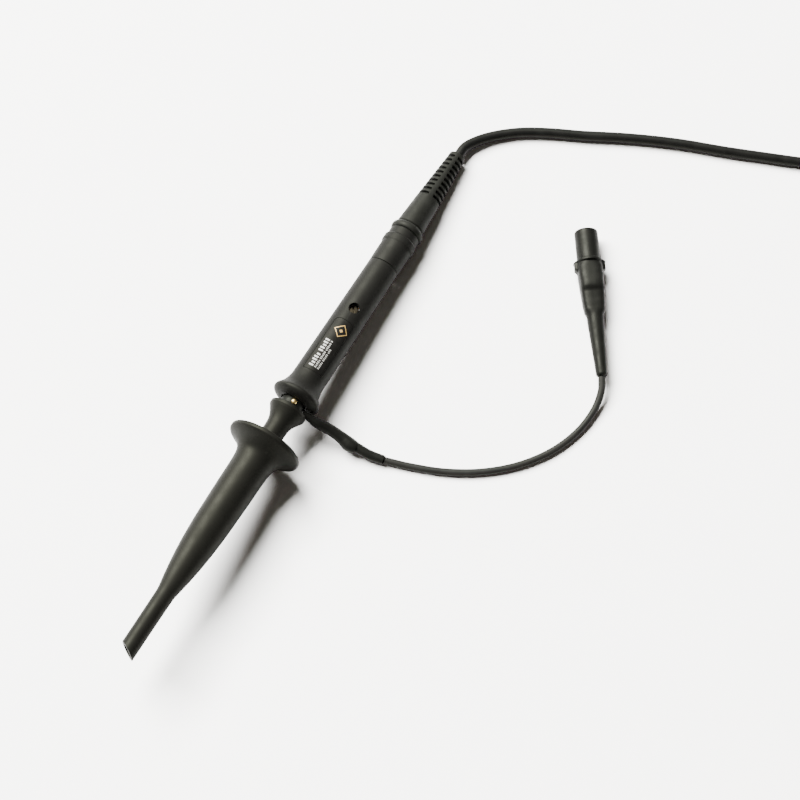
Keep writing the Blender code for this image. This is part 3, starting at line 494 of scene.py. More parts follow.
def swept(name, stations):
    """A round bar through stations of (centre, radius), in millimetres, with flat closed ends."""
    line = curved([(*centre, radius) for centre, radius in stations])
    centres = [Vector(point[:3]) * MM for point in line]
    bm = bmesh.new()
    rings = []
    for index, point in enumerate(line):
        before, after = centres[max(index - 1, 0)], centres[min(index + 1, len(line) - 1)]
        facing = (after - before).to_track_quat("Z", "Y").to_matrix().to_4x4()
        circle = bmesh.ops.create_circle(bm, segments=SMALL, radius=point[3] * MM)
        bmesh.ops.transform(bm, matrix=Matrix.Translation(centres[index]) @ facing, verts=circle["verts"])
        rings.append(circle["verts"])
    for ring, following in zip(rings, rings[1:]):
        join_rings(bm, ring, following)
    for ring in (rings[0], rings[-1]):
        bm.faces.new(ring)
    return finished(bm, name)


def extruded(name, outline, low, high):
    """The outline in XY, extruded from one height to another; all in millimetres."""
    bm = bmesh.new()
    rings = [[bm.verts.new((x * MM, y * MM, height * MM)) for x, y in outline] for height in (low, high)]
    join_rings(bm, *rings)
    for ring in rings:
        bm.faces.new(ring)
    return finished(bm, name, 30.0)


def place(name, data, matrix, body, look, slot, stands_for=()):
    """A finished piece that rides on a body."""
    piece = bpy.data.objects.new(name, data)
    piece.matrix_world = matrix
    bpy.context.scene.collection.objects.link(piece)
    data.materials.append(look)
    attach(piece, body)
    if stands_for:
        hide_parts(*stands_for)
    return piece


def place_turned(name, outline, segments, matrix, body, look, slot, stands_for):
    """A turned piece that rides on a body."""
    place(name, turned(name, outline, segments), matrix, body, look, slot, stands_for)


def cut(mesh, matrix, tools, operation="DIFFERENCE"):
    """This mesh, in its own frame, cut by each tool, given as (mesh, matrix)."""
    target = bpy.data.objects.new("target", mesh)
    target.matrix_world = matrix
    helpers = [target]
    bpy.context.scene.collection.objects.link(target)
    for index, (tool, at) in enumerate(tools):
        helper = bpy.data.objects.new(f"tool_{index}", tool)
        helper.matrix_world = at
        bpy.context.scene.collection.objects.link(helper)
        helpers.append(helper)
        modifier = target.modifiers.new(helper.name, "BOOLEAN")
        modifier.operation = operation
        modifier.object = helper
        modifier.solver = "EXACT"
    bpy.context.view_layer.update()
    result = bpy.data.meshes.new_from_object(target.evaluated_get(bpy.context.evaluated_depsgraph_get()))
    for helper in helpers:
        bpy.data.objects.remove(helper)
    result.shade_smooth()
    result.set_sharp_from_angle(angle=math.radians(32))
    return result


def polyline(name, points, radius):
    """A round wire or cord along the points, in millimetres, with filled ends."""
    curve = bpy.data.curves.new(name, "CURVE")
    curve.dimensions = "3D"
    curve.bevel_depth = radius * MM
    curve.bevel_resolution = 8
    curve.use_fill_caps = True
    spline = curve.splines.new("POLY")
    spline.points.add(len(points) - 1)
    for at, point in zip(spline.points, points):
        at.co = (*[value * MM for value in point], 1.0)
    return curve


# -------- camera, lights and floor


def aim(made, azimuth, elevation, distance):
    """Stands a camera or a light off from the camera's target, facing it; azimuth is from +X."""
    flat = math.cos(elevation)
    back = Vector((math.cos(azimuth) * flat, math.sin(azimuth) * flat, math.sin(elevation)))
    made.location = CAMERA_TARGET + back * distance
    made.rotation_mode = "QUATERNION"
    made.rotation_quaternion = (-back).to_track_quat("-Z", "Y")
    bpy.context.scene.collection.objects.link(made)


def camera():
    data = bpy.data.cameras.new("camera")
    data.lens = CAMERA_LENS
    data.sensor_width = SENSOR_WIDTH
    data.clip_start = 0.01
    made = bpy.data.objects.new("camera", data)
    aim(made, CAMERA_AZIMUTH, CAMERA_ELEVATION, CAMERA_DISTANCE)
    bpy.context.scene.camera = made


def studio():
    data = bpy.data.lights.new("key_light", "AREA")
    data.shape = "RECTANGLE"
    data.size, data.size_y = KEY_SIZE
    data.energy = KEY_POWER
    data.color = KEY_COLOUR
    aim(bpy.data.objects.new("key_light", data), KEY_AZIMUTH, KEY_ELEVATION, KEY_DISTANCE)
    world = bpy.data.worlds.new("studio")
    world.use_nodes = True
    background = world.node_tree.nodes["Background"]
    background.inputs["Color"].default_value = ROOM_COLOUR
    background.inputs["Strength"].default_value = ROOM_STRENGTH
    bpy.context.scene.world = world


def floor():
    """A plain pale table top."""
    bm = bmesh.new()
    bmesh.ops.create_grid(bm, x_segments=1, y_segments=1, size=FLOOR_HALF)
    made = bpy.data.objects.new("table_top", finished(bm, "table_top"))
    bpy.context.scene.collection.objects.link(made)
    material, tree, shader = new_material("table_white")
    specks = noise(tree, coordinates(tree), 60.0, 4.0)
    base = mixed(tree, specks, (0.9, 0.9, 0.89, 1), (0.93, 0.93, 0.92, 1))
    set_inputs(tree, shader, {"Base Color": base})
    shader.inputs["Roughness"].default_value = 0.9
    shader.inputs["Specular IOR Level"].default_value = 0.1
    made.data.materials.append(material)


# -------- hook tip


def hook_sleeve(looks):
    """Nozzle, tapered barrel and trumpet flange in one moulding, with its slanted mouth."""
    mouth = 66.0
    slant = math.tan(math.radians(31))
    shear_from = 56.0

    def slanted(along, angle, radius):
        share = max(0.0, (along - shear_from) / (mouth - shear_from))
        return along + share * radius * math.sin(angle) * slant, radius

    flare = curved([
        (0.85, 10.1), (1.35, 9.35), (2.05, 8.1), (2.95, 6.9), (4.2, 5.98), (6.2, 5.5), (10.0, 5.32),
        (15.0, 5.26), (20.0, 5.15), (24.0, 5.05), (28.0, 4.9), (34.0, 4.5), (39.0, 3.97), (43.0, 3.4),
        (46.0, 2.9), (47.6, 2.62),
    ], 5)
    nozzle = [(48.4, 2.54), (52.0, 2.5), (shear_from, 2.48), (61.0, 2.46), (mouth, 2.45, 0.12)]
    bore = [
        (mouth, 1.55, 0.1), (shear_from, 1.55), (49.0, 1.55), (44.0, 2.1), (38.0, 3.0), (30.0, 3.95),
        (3.3, 3.95), (3.3, 4.3), (-0.7, 4.3, 0.15),
    ]
    rim = [(-0.7, 10.5, 0.35), (0.35, 10.5, 0.3)]
    outline = rounded([*rim, *flare, *nozzle, *bore])
    place("sleeve_moulding", turned("sleeve_moulding", outline, FINE, slanted), PROBE, "sleeve",
          looks["sleeve"], "sleeve_black", ["hook_sleeve"])
    bush = rounded([(-0.55, 4.2, 0.2), (3.15, 4.2, 0.1), (3.15, 3.28, 0.15), (-0.55, 3.28, 0.2)])
    place_turned("sleeve_bush", bush, MEDIUM, PROBE, "sleeve",
                 looks["grey"], "grey_plastic", ["retaining_bush"])


def hook_carrier(looks):
    """The neck that slides on the nose barrel, flaring into its collar."""
    flare = curved([
        (-11.3, 5.22), (-10.9, 5.0), (-10.3, 4.62), (-9.3, 4.05), (-8.2, 3.58), (-7.0, 3.28), (-5.4, 3.18),
    ], 5)
    outline = rounded([
        (-12.4, 2.62, 0.15), (-12.4, 5.33, 0.22), (-11.45, 5.33, 0.12), *flare, (3.4, 3.18),
        (3.4, 3.72, 0.15), (5.0, 3.72, 0.15), (5.0, 3.18), (26.0, 3.18, 0.4), (26.0, 0.55, 0.15),
        (24.9, 0.55), (24.9, 1.6), (12.5, 1.6), (12.5, 2.62),
    ])
    place_turned("carrier_moulding", outline, FINE, PROBE, "hook_tip",
                 looks["sleeve"], "sleeve_black", ["hook_carrier"])


def hook_wire(looks):
    """The spring-steel rod and its open hook."""
    side, bend_at, bend_radius, steps = 0.4, 63.2, 0.5, 12
    route = curved([
        (21.0, 0, 0), (38.0, 0, 0), (50.0, 0, 0), (56.0, -side, 0), (60.0, -side, 0), (bend_at, -side, 0),
    ])
    for step in range(1, steps + 1):
        angle = math.pi * step / steps
        across = -side + bend_radius * (1 - math.cos(angle))
        route.append((bend_at + bend_radius * math.sin(angle), across, 0))
    route.append((bend_at - 0.7, -side + 2 * bend_radius, 0))
    place("hook_rod", polyline("hook_rod", route, 0.35), PROBE, "hook_tip",
          looks["steel"], "bright_metal", ["hook_wire"])


# -------- probe body


def nose(looks):
    """The ground barrel, the insulator that fills its end and the needle."""
    barrel = rounded([
        (-24.0, 2.0), (-24.0, 2.5, 0.1), (9.2, 2.5, 0.1), (9.35, 2.4), (9.65, 2.4), (9.8, 2.5, 0.1),
        (11.0, 2.5, 0.2), (11.0, 2.0, 0.12),
    ])
    place_turned("ground_barrel", barrel, MEDIUM, PROBE, "probe",
                 looks["nickel"], "nickel", ["nose_barrel"])
    insulator = rounded([(-20.0, 0.5), (-20.0, 1.9), (11.2, 1.9, 0.15), (12.3, 1.2, 0.15), (12.3, 0.5)])
    place_turned("tip_bead", insulator, SMALL, PROBE, "probe",
                 looks["white"], "white_plastic", ["tip_insulator"])
    point = curved([(17.0, 0.36), (18.3, 0.17), (18.9, 0.06)])
    needle = [(-23.0, 0), (-23.0, 0.38), (16.6, 0.38), *point, (19.0, 0)]
    place_turned("tip_needle", needle, SMALL, PROBE, "probe", looks["brass"], "brass", ["probe_needle"])


def body_radius(along):
    """The body's outer radius between its guard lip and the seam."""
    return 4.8 - 0.3 * (-22.5 - along) / (-22.5 - SEAM)


def label_outline(margin):
    """The label panel's outline, drawn in by a margin; its two rear corners are rounded."""
    half, side = LABEL_LENGTH / 2 - margin, LABEL_WIDTH / 2 - margin
    front, back = LABEL_CENTRE + half, LABEL_CENTRE - half
    return rounded([(front, -side, 0.3), (front, side, 0.3), (back, side, 1.5), (back, -side, 1.5)], 6)


def label_solid(name, margin, deep, high):
    """A curved slab with the label's outline, from one height over the body's surface to another."""
    back, front = LABEL_CENTRE - LABEL_LENGTH / 2 - 1, LABEL_CENTRE + LABEL_LENGTH / 2 + 1
    shell = turned(name, [
        (back, body_radius(back) + deep), (back, body_radius(back) + high),
        (front, body_radius(front) + high), (front, body_radius(front) + deep),
    ], 240)
    outline = extruded(name + "_outline", label_outline(margin), 2.0, 7.0)
    return cut(shell, PROBE, [(outline, PROBE)], "INTERSECT")


def trimmer_hole():
    """A round hole with a slightly rounded mouth, as a cutting tool about its own axis."""
    mouth = body_radius(TRIMMER_AT)
    edge = curved([(mouth - 0.3, 1.55), (mouth - 0.1, 1.6), (mouth + 0.05, 1.72)], 4)
    outline = [(2.6, 0), (2.6, 1.55), *edge, (mouth + 1.0, 2.3), (mouth + 1.0, 0)]
    return turned("trimmer_hole", outline, MEDIUM)


def front_body(looks):
    """The front half with its finger-guard lip, label recess, trimmer hole and switch slot."""
    lip = curved([
        (-14.95, 5.0), (-15.2, 5.75), (-15.62, 6.42), (-16.05, 6.8), (-16.45, 6.93), (-16.95, 6.82),
        (-17.5, 6.45), (-18.2, 5.97), (-19.1, 5.5), (-20.4, 5.1), (-21.6, 4.88),
        (-22.8, body_radius(-22.8)),
    ], 5)
    straight = [(along, body_radius(along)) for along in range(-24, -63, -3)]
    shell = rounded([
        (-14.8, 3.7, 0.1), (-14.8, 4.7, 0.12), *lip, *straight, (SEAM, 4.5, 0.14), (SEAM, 3.65),
        (-19.5, 3.65), (-19.5, 2.62), (-16.2, 2.62), (-16.2, 3.7),
    ])
    slot_half = 1.1
    ends = (SWITCH_AT - 1.55, SWITCH_AT + SWITCH_TRAVEL + 1.55)
    slot = rounded([(ends[0], -slot_half, 0.3), (ends[1], -slot_half, 0.3),
                    (ends[1], slot_half, 0.3), (ends[0], slot_half, 0.3)])
    body = cut(turned("front_shell", shell), PROBE, [
        (label_solid("label_recess", 0.0, -0.3, 0.6), PROBE),
        (trimmer_hole(), upright(TRIMMER_AT)),
        (extruded("switch_slot", slot, -7.0, -2.4), PROBE),
    ])
    place("front_shell", body, PROBE, "probe", looks["body"], "body_black", ["front_body"])


def print_point(bm, along, across, depth):
    """A vertex of the print, given along the body and across its curved face, in millimetres."""
    radius = body_radius(along) - 0.035 + depth
    angle = across / radius
    return bm.verts.new((along * MM, radius * math.sin(angle) * MM, radius * math.cos(angle) * MM))


def wrapped_bar(bm, back, front, left, right):
    """A thin closed slab of print that follows the body's curve from left to right."""
    steps = max(2, round((right - left) / 0.25))
    places = [left + (right - left) * step / steps for step in range(steps + 1)]
    layers = []
    for depth in (0.0, PRINT_DEPTH):
        rows = [[print_point(bm, along, across, depth) for across in places] for along in (back, front)]
        layers.append(rows[0] + rows[1][::-1])
    join_rings(bm, *layers)
    for ring in layers:
        for step in range(steps):
            bm.faces.new((ring[step], ring[step + 1], ring[-step - 2], ring[-step - 1]))


def label(looks):
    """The label panel. Its print is generic rows of bars, and a plain lozenge in gold."""
    place("label_panel", label_solid("label_panel", 0.12, -0.22, -0.02), PROBE, "probe",
          looks["label"], "label", ["label_plate"])
    bars = bmesh.new()
    # Each row's left and right edges, its bars' length and spacing, and how many there are.
    rows = [(-1.9, -0.6, 0.48, 0.44, 10), (-0.2, 0.35, 0.3, 0.24, 16), (0.7, 1.25, 0.26, 0.24, 13)]
    for left, right, length, gap, count in rows:
        front = LABEL_CENTRE + LABEL_LENGTH / 2 - 1.3
        for index in range(count):
            inset = 0.25 * (right - left) * (index % 3 == 1)
            wrapped_bar(bars, front - length, front, left + inset, right)
            front -= length + gap * (1 if index % 5 < 4 else 2)
    place("label_bars", finished(bars, "label_bars"), PROBE, "probe", looks["white_ink"], "label")
    place("label_lozenge", lozenge(), PROBE, "probe", looks["gold_ink"], "label")


def lozenge():
    """An outlined square standing on its corner, with a small square inside it."""
    centre, across, size, line, inside, steps = -38.1, 0.55, 2.1, 0.34, 0.55, 4
    corners = [Vector(corner) for corner in ((1, 0), (0, 1), (-1, 0), (0, -1))]
    square = [
        start.lerp(end, step / steps)
        for start, end in zip(corners, corners[1:] + corners[:1]) for step in range(steps)
    ]
    bm = bmesh.new()
    for outer, inner in ((size, size - line), (inside, 0.0)):
        rings = [
            [print_point(bm, centre + spot.x * reach, across + spot.y * reach, depth) for spot in square]
            for depth, reach in ((0.0, inner), (0.0, outer), (PRINT_DEPTH, outer), (PRINT_DEPTH, inner))
        ]
        for ring, following in zip(rings, rings[1:] + rings[:1]):
            join_rings(bm, ring, following)
    bmesh.ops.remove_doubles(bm, verts=bm.verts, dist=0.0005 * MM)
    return finished(bm, "label_lozenge")


def rear_body(looks):
    """The rear half behind the seam, with its raised band, groove and rubber marker ring."""
    shell = rounded([
        (SEAM - 0.14, 3.3), (SEAM - 0.14, 4.5, 0.12), (-67.0, 4.58), (-70.3, 4.6, 0.3),
        (-70.9, 4.88, 0.25), (-72.6, 4.88, 0.25), (-73.1, 4.45, 0.25), (-75.35, 4.5, 0.12),
        (-75.4, 4.1), (-77.8, 4.1, 0.1), (-78.0, 4.0), (-78.0, 3.3),
    ])
    place_turned("rear_shell", shell, FINE, PROBE, "probe", looks["body"], "body_black", ["rear_body"])
    turns = [math.pi * step / 12 for step in range(13)]
    bead = [(-76.6 + 1.05 * math.cos(turn), 4.2 + 0.7 * math.sin(turn)) for turn in turns]
    place_turned("marker_band", bead, FINE, PROBE, "probe", looks["rubber"], "rubber", ["marker_ring"])


def trimmer(looks):
    """The trimmer's slotted rotor, down in its hole. Its brass is painted nearly black: painted shade for
    the hole.
    """
    low, high, radius = 2.0, 3.2, 1.3
    outline = rounded([(low, 0), (low, radius), (high, radius, 0.15), (high, 0)])
    screw = turned("trimmer_rotor", outline, SMALL)
    blade = [(-2, -0.25), (2, -0.25), (2, 0.25), (-2, 0.25)]
    slot = extruded("screw_slot", blade, high - 0.5, high + 0.5)
    at = PROBE @ Matrix.Translation((TRIMMER_AT * MM, 0, 0)) @ Matrix.Rotation(math.radians(35), 4, "Z")
    place("trimmer_rotor", cut(screw, upright(TRIMMER_AT), [(slot, at)]), upright(TRIMMER_AT), "trimmer",
          looks["brass_painted_shade"], "brass", ["trimmer_screw"])


def thumb_piece(looks):
    """The slide switch's ribbed thumb piece and its stem, on the underside."""
    reach, half, ribs = 1.6, 0.9, 5
    outline = [(SWITCH_AT - half, -2.25), (SWITCH_AT - half, -4.95), (SWITCH_AT - reach, -4.95, 0.1)]
    pitch = 2 * reach / ribs
    for rib in range(ribs):
        left = SWITCH_AT - reach + rib * pitch
        outline += [(left, -5.5 if rib else -5.45, 0.1), (left + 0.3 * pitch, -5.75, 0.08),
                    (left + 0.7 * pitch, -5.75, 0.08)]
    outline += [(SWITCH_AT + reach, -5.45, 0.1), (SWITCH_AT + reach, -4.95, 0.1),
                (SWITCH_AT + half, -4.95), (SWITCH_AT + half, -2.25)]
    on_side = PROBE @ Matrix.Rotation(math.pi / 2, 4, "X")
    mesh = extruded("switch_thumb", rounded(outline, 3), -half, half)
    place("switch_thumb", mesh, on_side, "switch", looks["grey"], "grey_plastic", ["switch_slider"])


# -------- strain relief and ground lead


def relief_radius(along):
    """The relief's outer radius: slightly tapered at first, then more so along the slots."""
    if along > -88.5:
        return 4.15 + (3.6 - 4.15) * (-78.4 - along) / 10.1
    return 3.6 + (2.5 - 3.6) * (-88.5 - along) / 16.5


def slot_share(angle):
    """1 where the slots of either side are open, 0 on the plain spines above and below."""
    from_spine = math.degrees(math.asin(min(1.0, abs(math.sin(angle)))))
    return min(1.0, max(0.0, (from_spine - 12.0) / 4.0))


def strain_relief(looks):
    """A tapered boot, slotted on both sides as the real one is for bending."""
    centres = [SLOT_FIRST - index * SLOT_PITCH for index in range(SLOT_COUNT)]

    def slotted(along, angle, radius):
        if any(abs(along - centre) <= SLOT_HALF + 0.001 for centre in centres):
            radius -= SLOT_DEPTH * slot_share(angle)
        return along, radius

    outline = [
        (-70.0, 3.2), (-78.1, 3.2), (-78.1, 3.9, 0.12), (-78.45, 4.15, 0.25), (-83.0, relief_radius(-83)),
    ]
    for centre in centres:
        for offset in (SLOT_HALF + SLOT_EDGE, SLOT_HALF, -SLOT_HALF, -SLOT_HALF - SLOT_EDGE):
            outline.append((centre + offset, relief_radius(centre + offset)))
    outline += [(-105.1, 2.5), (-106.0, 2.45, 0.25)]
    outer = rounded([*outline, (-106.0, 1.6, 0.1), (-70.0, 1.6)])
    mesh = turned("cable_relief", outer, FINE, slotted)
    place("cable_relief", mesh, PROBE, "probe", looks["rubber"], "rubber", ["strain_relief"])


def ground_ring(looks):
    """The lead's split spring ring on the nose barrel, its rubber cover and its contact tab."""
    ring = turned("lead_ring", rounded([
        (-15.6, 2.62, 0.1), (-15.6, 2.95, 0.1), (-13.0, 2.95), (-12.9, 3.25, 0.1), (-12.55, 3.25, 0.1),
        (-12.55, 2.62, 0.1),
    ]), MEDIUM)
    gap = extruded("ring_gap", [(-16.5, -9.0), (-11.5, -9.0), (-11.5, -1.0), (-16.5, -1.0)], -0.6, 0.6)
    place("lead_ring", cut(ring, PROBE, [(gap, PROBE)]), PROBE, "probe",
          looks["steel"], "bright_metal", ["ground_ring"])
    cover = turned("ring_cover", rounded([
        (-15.55, 3.0, 0.1), (-15.55, 3.4, 0.2), (-13.1, 3.4, 0.2), (-13.1, 3.0, 0.1),
    ]), MEDIUM)
    place("ring_cover", cover, PROBE, "probe", looks["lead_rubber"], "lead_rubber")
    dome = curved([(3.2, 0.8), (3.5, 0.76), (3.78, 0.5), (3.86, 0.2)], 4)
    tab = turned("contact_tab", [(3.2, 0), *dome, (3.9, 0)], SMALL)
    lean = PROBE @ Matrix.Rotation(math.radians(-7), 4, "X") @ PROBE.inverted()
    place("contact_tab", tab, lean @ upright(-14.0), "probe", looks["brass"], "brass")


def ground_arm(looks):
    """The moulded arm from the ring down to the lead's socket, and the sleeve over the lead's start."""
    root = PROBE @ Vector((-13.65 * MM, 0, 0)) / MM
    arm = [
        ((root.x, 3.6, root.z - 0.6), 0.95), ((root.x, 5.6, root.z - 1.3), 1.05),
        ((root.x - 0.1, 8.2, root.z - 2.6), 1.42), ((4.9, 11.6, 5.35), 1.55), ((4.9, 15.0, 3.95), 1.68),
        ((5.12, 16.6, 3.4), 1.92), ((5.28, 17.6, 3.1), 2.02), ((5.3, 18.7, 2.85), 1.95),
        ((5.22, 19.4, 2.72), 1.82), ((5.15, 19.72, 2.65), 1.68),
    ]
    place("lead_arm", swept("lead_arm", arm), WORLD, "probe",
          looks["lead_rubber"], "lead_rubber", ["ground_arm"])
    sleeve = [
        ((5.02, 19.76, 2.64), 1.46), ((4.98, 20.4, 2.55), 1.46), ((4.9, 23.6, 2.0), 1.42),
        ((4.2, 27.3, 1.5), 1.34), ((4.1, 27.7, 1.45), 1.26),
    ]
    place("lead_collar", swept("lead_collar", sleeve), WORLD, "probe",
          looks["lead_rubber"], "lead_rubber", ["lead_sleeve"])


def smooth_step(value, low, high):
    """0 up to low, 1 from high on, and an even S between them."""
    share = min(1.0, max(0.0, (value - low) / (high - low)))
    return share * share * (3 - 2 * share)


def grip_section(along):
    """The half height, half width and squareness of the grip, between its given sections."""
    for front, back in zip(GRIP_SECTIONS, GRIP_SECTIONS[1:]):
        if along >= back[0] - 0.001:
            share = smooth_step(-along, -front[0], -back[0])
            return [start + share * (end - start) for start, end in zip(front[1:], back[1:])]
    return GRIP_SECTIONS[-1][1:]


def boot_form(along, angle, radius):
    """Gives the boot its squarer grip with the raised pads, and the wings at its sides."""
    up, side = abs(math.cos(angle)), abs(math.sin(angle))
    if GRIP_SECTIONS[-1][0] - 0.01 <= along <= GRIP_SECTIONS[0][0] + 0.01:
        height, width, power = grip_section(along)
        radius = ((up / height) ** power + (side / width) ** power) ** (-1 / power)
    wing = smooth_step(-along, 9.2, 9.5) * (1 - smooth_step(-along, 12.0, 12.6))
    return along, radius + 0.75 * wing * smooth_step(side, 0.93, 0.97)


def clip_boot(looks):
    """The clip's soft boot: mouth tube, collar, wings, grip and tapered tail."""
    first, last = GRIP_SECTIONS[0][0], GRIP_SECTIONS[-1][0]
    count = 36
    grip = [(first + (last - first) * step / count, 3.0) for step in range(count + 1)]
    outline = rounded([
        (0.0, 2.95, 0.1), (0.0, 3.2, 0.15), (-0.35, 3.3, 0.2), (-4.5, 3.34), (-8.6, 3.38),
        (-9.0, 3.42, 0.1), (-9.2, 3.78, 0.15), (-9.85, 3.78, 0.15), *grip,
        (-29.0, 2.34), (-34.0, 2.08), (-39.0, 1.8), (-43.5, 1.58, 0.2), (-44.0, 1.4, 0.1),
    ])
    bore = rounded([
        (-44.0, 1.1), (-30.0, 1.1), (-27.5, 1.5), (-22.8, 1.55), (-21.4, 2.2), (-18.0, 2.3),
        (-16.4, 2.85), (0.0, 2.85),
    ])
    mesh = turned("clip_cover", outline + bore, FINE, boot_form, len(outline))
    place("clip_cover", mesh, CLIP, "probe", looks["lead_rubber"], "lead_rubber", ["clip_boot"])


# -------- plug and coil tie


def coupling_nut(looks):
    """The knurled bayonet nut with its two locking slots."""
    flutes = 36
    segments = flutes * 6

    def knurled(along, angle, radius):
        if -13.3 < along < -5.7 and radius > 7.0:
            radius -= 0.16 * (0.5 + 0.5 * math.cos(flutes * angle)) ** 2
        return along, radius

    outline = rounded([
        (0, 5.75, 0.1), (0, 7.2, 0.3), (-3.4, 7.2, 0.12), (-3.6, 6.9, 0.1), (-5.2, 6.9, 0.1),
        (-5.4, 7.25, 0.12), (-5.9, 7.25), (-13.1, 7.25), (-13.6, 7.25, 0.15), (-14.0, 7.0, 0.15),
        (-14.0, 5.6, 0.1), (-13.2, 5.6), (-12.9, 6.15), (-12.0, 6.15), (-12.0, 5.15), (-10.4, 5.15),
        (-10.4, 5.75),
    ])
    tools = []
    for side in (-1, 1):
        mouth = [(-4.5, -1.1), (0.5, -1.1), (0.5, 1.1), (-4.5, 1.1)]
        entry = extruded("entry", mouth, 5.2 * side, 11.2 * side)
        track = extruded("track", rounded([
            (-1.1, -3.2, 1.0), (1.1, -3.2, 1.0), (1.1, 3.2, 1.0), (-1.1, 3.2, 1.0),
        ]), 5.7 * side, 10.7 * side)
        lean = Matrix.Translation((-4.6 * MM, side * 2.4 * MM, 0))
        lean = lean @ Matrix.Rotation(side * math.radians(24), 4, "Z")
        tools += [(entry, PLUG), (track, PLUG @ lean)]
    mesh = cut(turned("bayonet_nut", outline, segments, knurled), PLUG, tools)
    place("bayonet_nut", mesh, PLUG, "coupling_nut", looks["nickel"], "nickel", ["plug_nut"])


def plug_inside(looks):
    """The plug's shell, slit ground contact, insulator and centre pin."""
    core = rounded([
        (-17.5, 2.3), (-17.5, 5.4, 0.15), (-13.5, 5.4, 0.15), (-13.0, 5.0), (-5.6, 5.0, 0.15),
        (-5.6, 4.3, 0.1), (-9.2, 4.3), (-9.2, 2.3),
    ])
    place_turned("plug_shell", core, FINE, PLUG, "probe", looks["nickel"], "nickel", ["plug_body"])
    fingers = rounded([(-9.0, 3.75), (-9.0, 4.15), (-1.0, 4.15, 0.15), (-1.0, 3.75, 0.12)])
    tools = []
    for index in range(2):
        slit = extruded("slit", [(-5.4, -6), (1.0, -6), (1.0, 6), (-5.4, 6)], -0.2, 0.2)
        tools.append((slit, PLUG @ Matrix.Rotation(math.pi / 4 + index * math.pi / 2, 4, "X")))
    fingers = cut(turned("contact_fingers", fingers, MEDIUM), PLUG, tools)
    place("contact_fingers", fingers, PLUG, "probe", looks["nickel"], "nickel", ["plug_ground_sleeve"])
    dielectric = rounded([(-16.5, 0.8), (-16.5, 2.2), (-5.0, 2.2, 0.2), (-5.0, 0.8, 0.1)])
    place_turned("plug_dielectric", dielectric, SMALL, PLUG, "probe",
                 looks["white"], "white_plastic", ["plug_insulator"])
    point = curved([(-2.3, 0.62), (-1.9, 0.4), (-1.66, 0.15)])
    pin = [(-16.0, 0), (-16.0, 0.68), (-2.6, 0.68), *point, (-1.6, 0)]
    place_turned("centre_pin", pin, SMALL, PLUG, "probe", looks["gold"], "gold", ["plug_pin"])


def plug_boot(looks):
    """The plug's strain relief: a ribbed grip that tapers to the cable."""
    outer = [(-18.2, 2.9, 0.1), (-18.2, 4.9, 0.25), (-19.0, 5.1, 0.2)]
    for rib in range(6):
        at = -20.0 - 0.9 * rib
        outer += [(at, 5.08, 0.12), (at - 0.2, 4.78, 0.1), (at - 0.45, 4.78, 0.1), (at - 0.65, 5.06, 0.12)]
    outer += curved([(-25.8, 4.7), (-27.0, 4.05), (-29.0, 3.55), (-33.0, 2.95), (-36.4, 2.5)], 4)
    outer += [(-36.8, 2.4, 0.2), (-37.0, 2.1), (-37.0, 1.6, 0.1), (-26.0, 1.6), (-26.0, 2.9)]
    place_turned("plug_grip", rounded(outer), FINE, PLUG, "probe",
                 looks["rubber"], "rubber", ["plug_boot"])


def coil_tie(looks):
    """A flat strap pulled snug round the coil's turns, with rounded corners."""
    low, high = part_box("coil_tie")
    middle, top, half = (low[1] + high[1]) / 2 / MM, high[2] / MM, (high[1] - low[1]) / 2 / MM
    thickness, corner, slack = 0.6, 2.2, 0.1
    coil_low, coil_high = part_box("cable_coil")
    centre = (coil_low[0] + coil_high[0]) / 2 / MM
    inner = centre + COIL_INNER - CABLE_RADIUS - thickness - slack
    outer = centre + TIED_RADIUS + thickness + slack
    section = rounded([
        (-half, 0, 0.12), (half, 0, 0.12), (half, thickness, 0.12), (-half, thickness, 0.12),
    ], 2)
    bm = bmesh.new()
    loops = []
    for across, depth in section:
        path = rounded([
            (inner + depth, depth, corner - depth), (outer - depth, depth, corner - depth),
            (outer - depth, top - depth, corner - depth), (inner + depth, top - depth, corner - depth),
        ], 8)
        loops.append([bm.verts.new((x * MM, (middle + across) * MM, z * MM)) for x, z in path])
    for ring, following in zip(loops, loops[1:] + loops[:1]):
        join_rings(bm, ring, following)
    place("coil_strap", finished(bm, "coil_strap"), WORLD, "probe", looks["strap"], "rubber", ["coil_tie"])


# -------- cords


def coil_turns(centre):
    """The coil's turns: layers wound inwards and outwards by turns, with a smooth rise between."""
    points = []
    steps = round(COIL_TURNS * 30)
    ramp = 0.07
    for step in range(steps + 1):
        share = step / steps
        angle = COIL_START - 2 * math.pi * COIL_TURNS * share
        layer_at = share * COIL_LAYERS
        layer = min(int(layer_at), COIL_LAYERS - 1)
        inwards = layer_at - layer
        if layer % 2:
            inwards = 1 - inwards
        radius = COIL_OUTER + (COIL_INNER - COIL_OUTER) * inwards
        risen = sum(smooth_step(layer_at, edge - ramp, edge + ramp) for edge in range(1, COIL_LAYERS))
        points.append((
            centre.x + radius * math.cos(angle), centre.y + radius * math.sin(angle),
            COIL_LOWEST + COIL_RISE * risen,
        ))
    return points


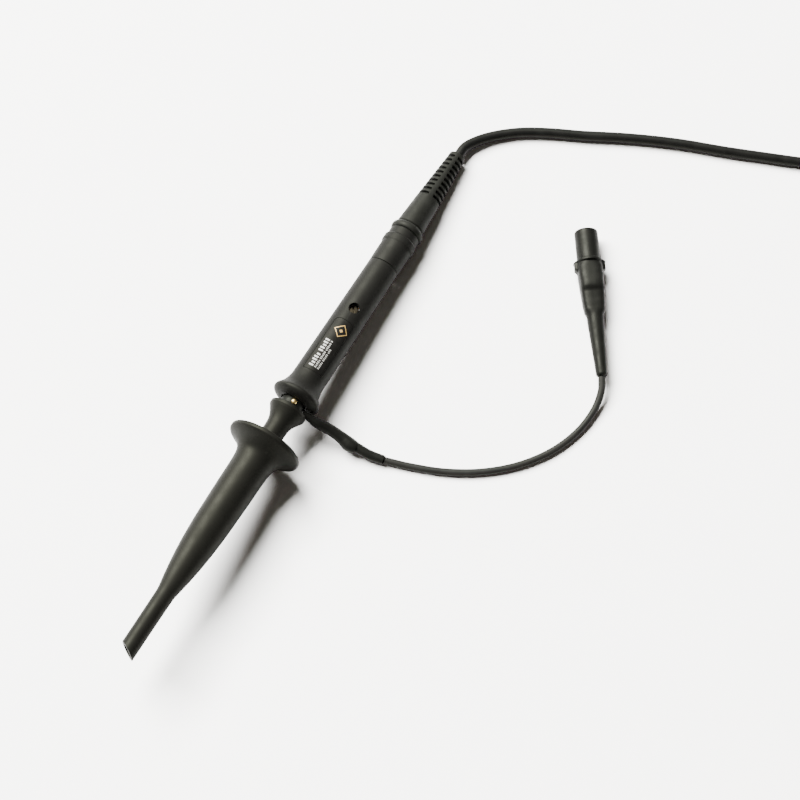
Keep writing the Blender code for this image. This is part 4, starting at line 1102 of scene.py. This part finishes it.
def probe_cable(looks):
    """The whole cable: its start, the coil, and the tail to the plug. Smooth joins share points."""
    low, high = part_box("cable_coil")
    turns = coil_turns((low + high) / 2 / MM)
    steps = 8
    shared = 3 * steps + 1
    start = curved([*CABLE_ROUTE, *turns[:4]], steps)[:-shared]
    end = curved([*turns[-4:], *TAIL_ROUTE], steps)[shared:]
    curve = polyline("signal_cable", [*start, *turns, *end], CABLE_RADIUS)
    cable = place("signal_cable", curve, WORLD, "probe",
                  looks["cable"], "cable_black", ["probe_cable", "cable_coil", "cable_tail"])


def ground_wire(looks):
    """The ground lead's wire, which is seen whole, so its length is that of its own route."""
    points = curved(LEAD_ROUTE, 8)
    wire = place("lead_wire", polyline("lead_wire", points, LEAD_WIRE_RADIUS), WORLD, "probe",
                 looks["lead"], "cable_black", ["ground_wire"])


# -------- everything together


def dress_frame_nodes(looks):
    """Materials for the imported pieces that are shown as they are."""
    shown = {
        "steel": ["hook_spring", "switch_housing", "clip_upper_jaw", "clip_lower_jaw", "clip_pin",
                  "clip_spring", "clip_crimp", "plug_spring_washer"],
        "nickel": ["shield_tube", "cable_crimp", "plug_ferrule"],
        "brass": ["contact_socket"],
        "white": ["trimmer_body"],
        "board": ["circuit_board"],
        "resistor": ["tip_resistor"],
        "cable": ["cable_core", "plug_core"],
        "lead": ["lead_core"],
        "gasket": ["plug_gasket"],
    }
    for look, names in shown.items():
        for name in names:
            node = frame["nodes"][name]
            node.data.materials.clear()
            node.data.materials.append(looks[look])
    for name in ("clip_upper_jaw", "clip_lower_jaw"):
        modifier = frame["nodes"][name].modifiers.new("soft edges", "BEVEL")
        modifier.width = 0.06 * MM
        modifier.segments = 2


def build():
    looks = make_looks()
    camera()
    studio()
    floor()
    for make in (
        hook_sleeve, hook_carrier, hook_wire, nose, front_body, label, rear_body, trimmer, thumb_piece,
        strain_relief, ground_ring, ground_arm, clip_boot, coupling_nut, plug_inside, plug_boot, coil_tie,
    ):
        make(looks)
    dress_frame_nodes(looks)
    probe_cable(looks)
    ground_wire(looks)


build()
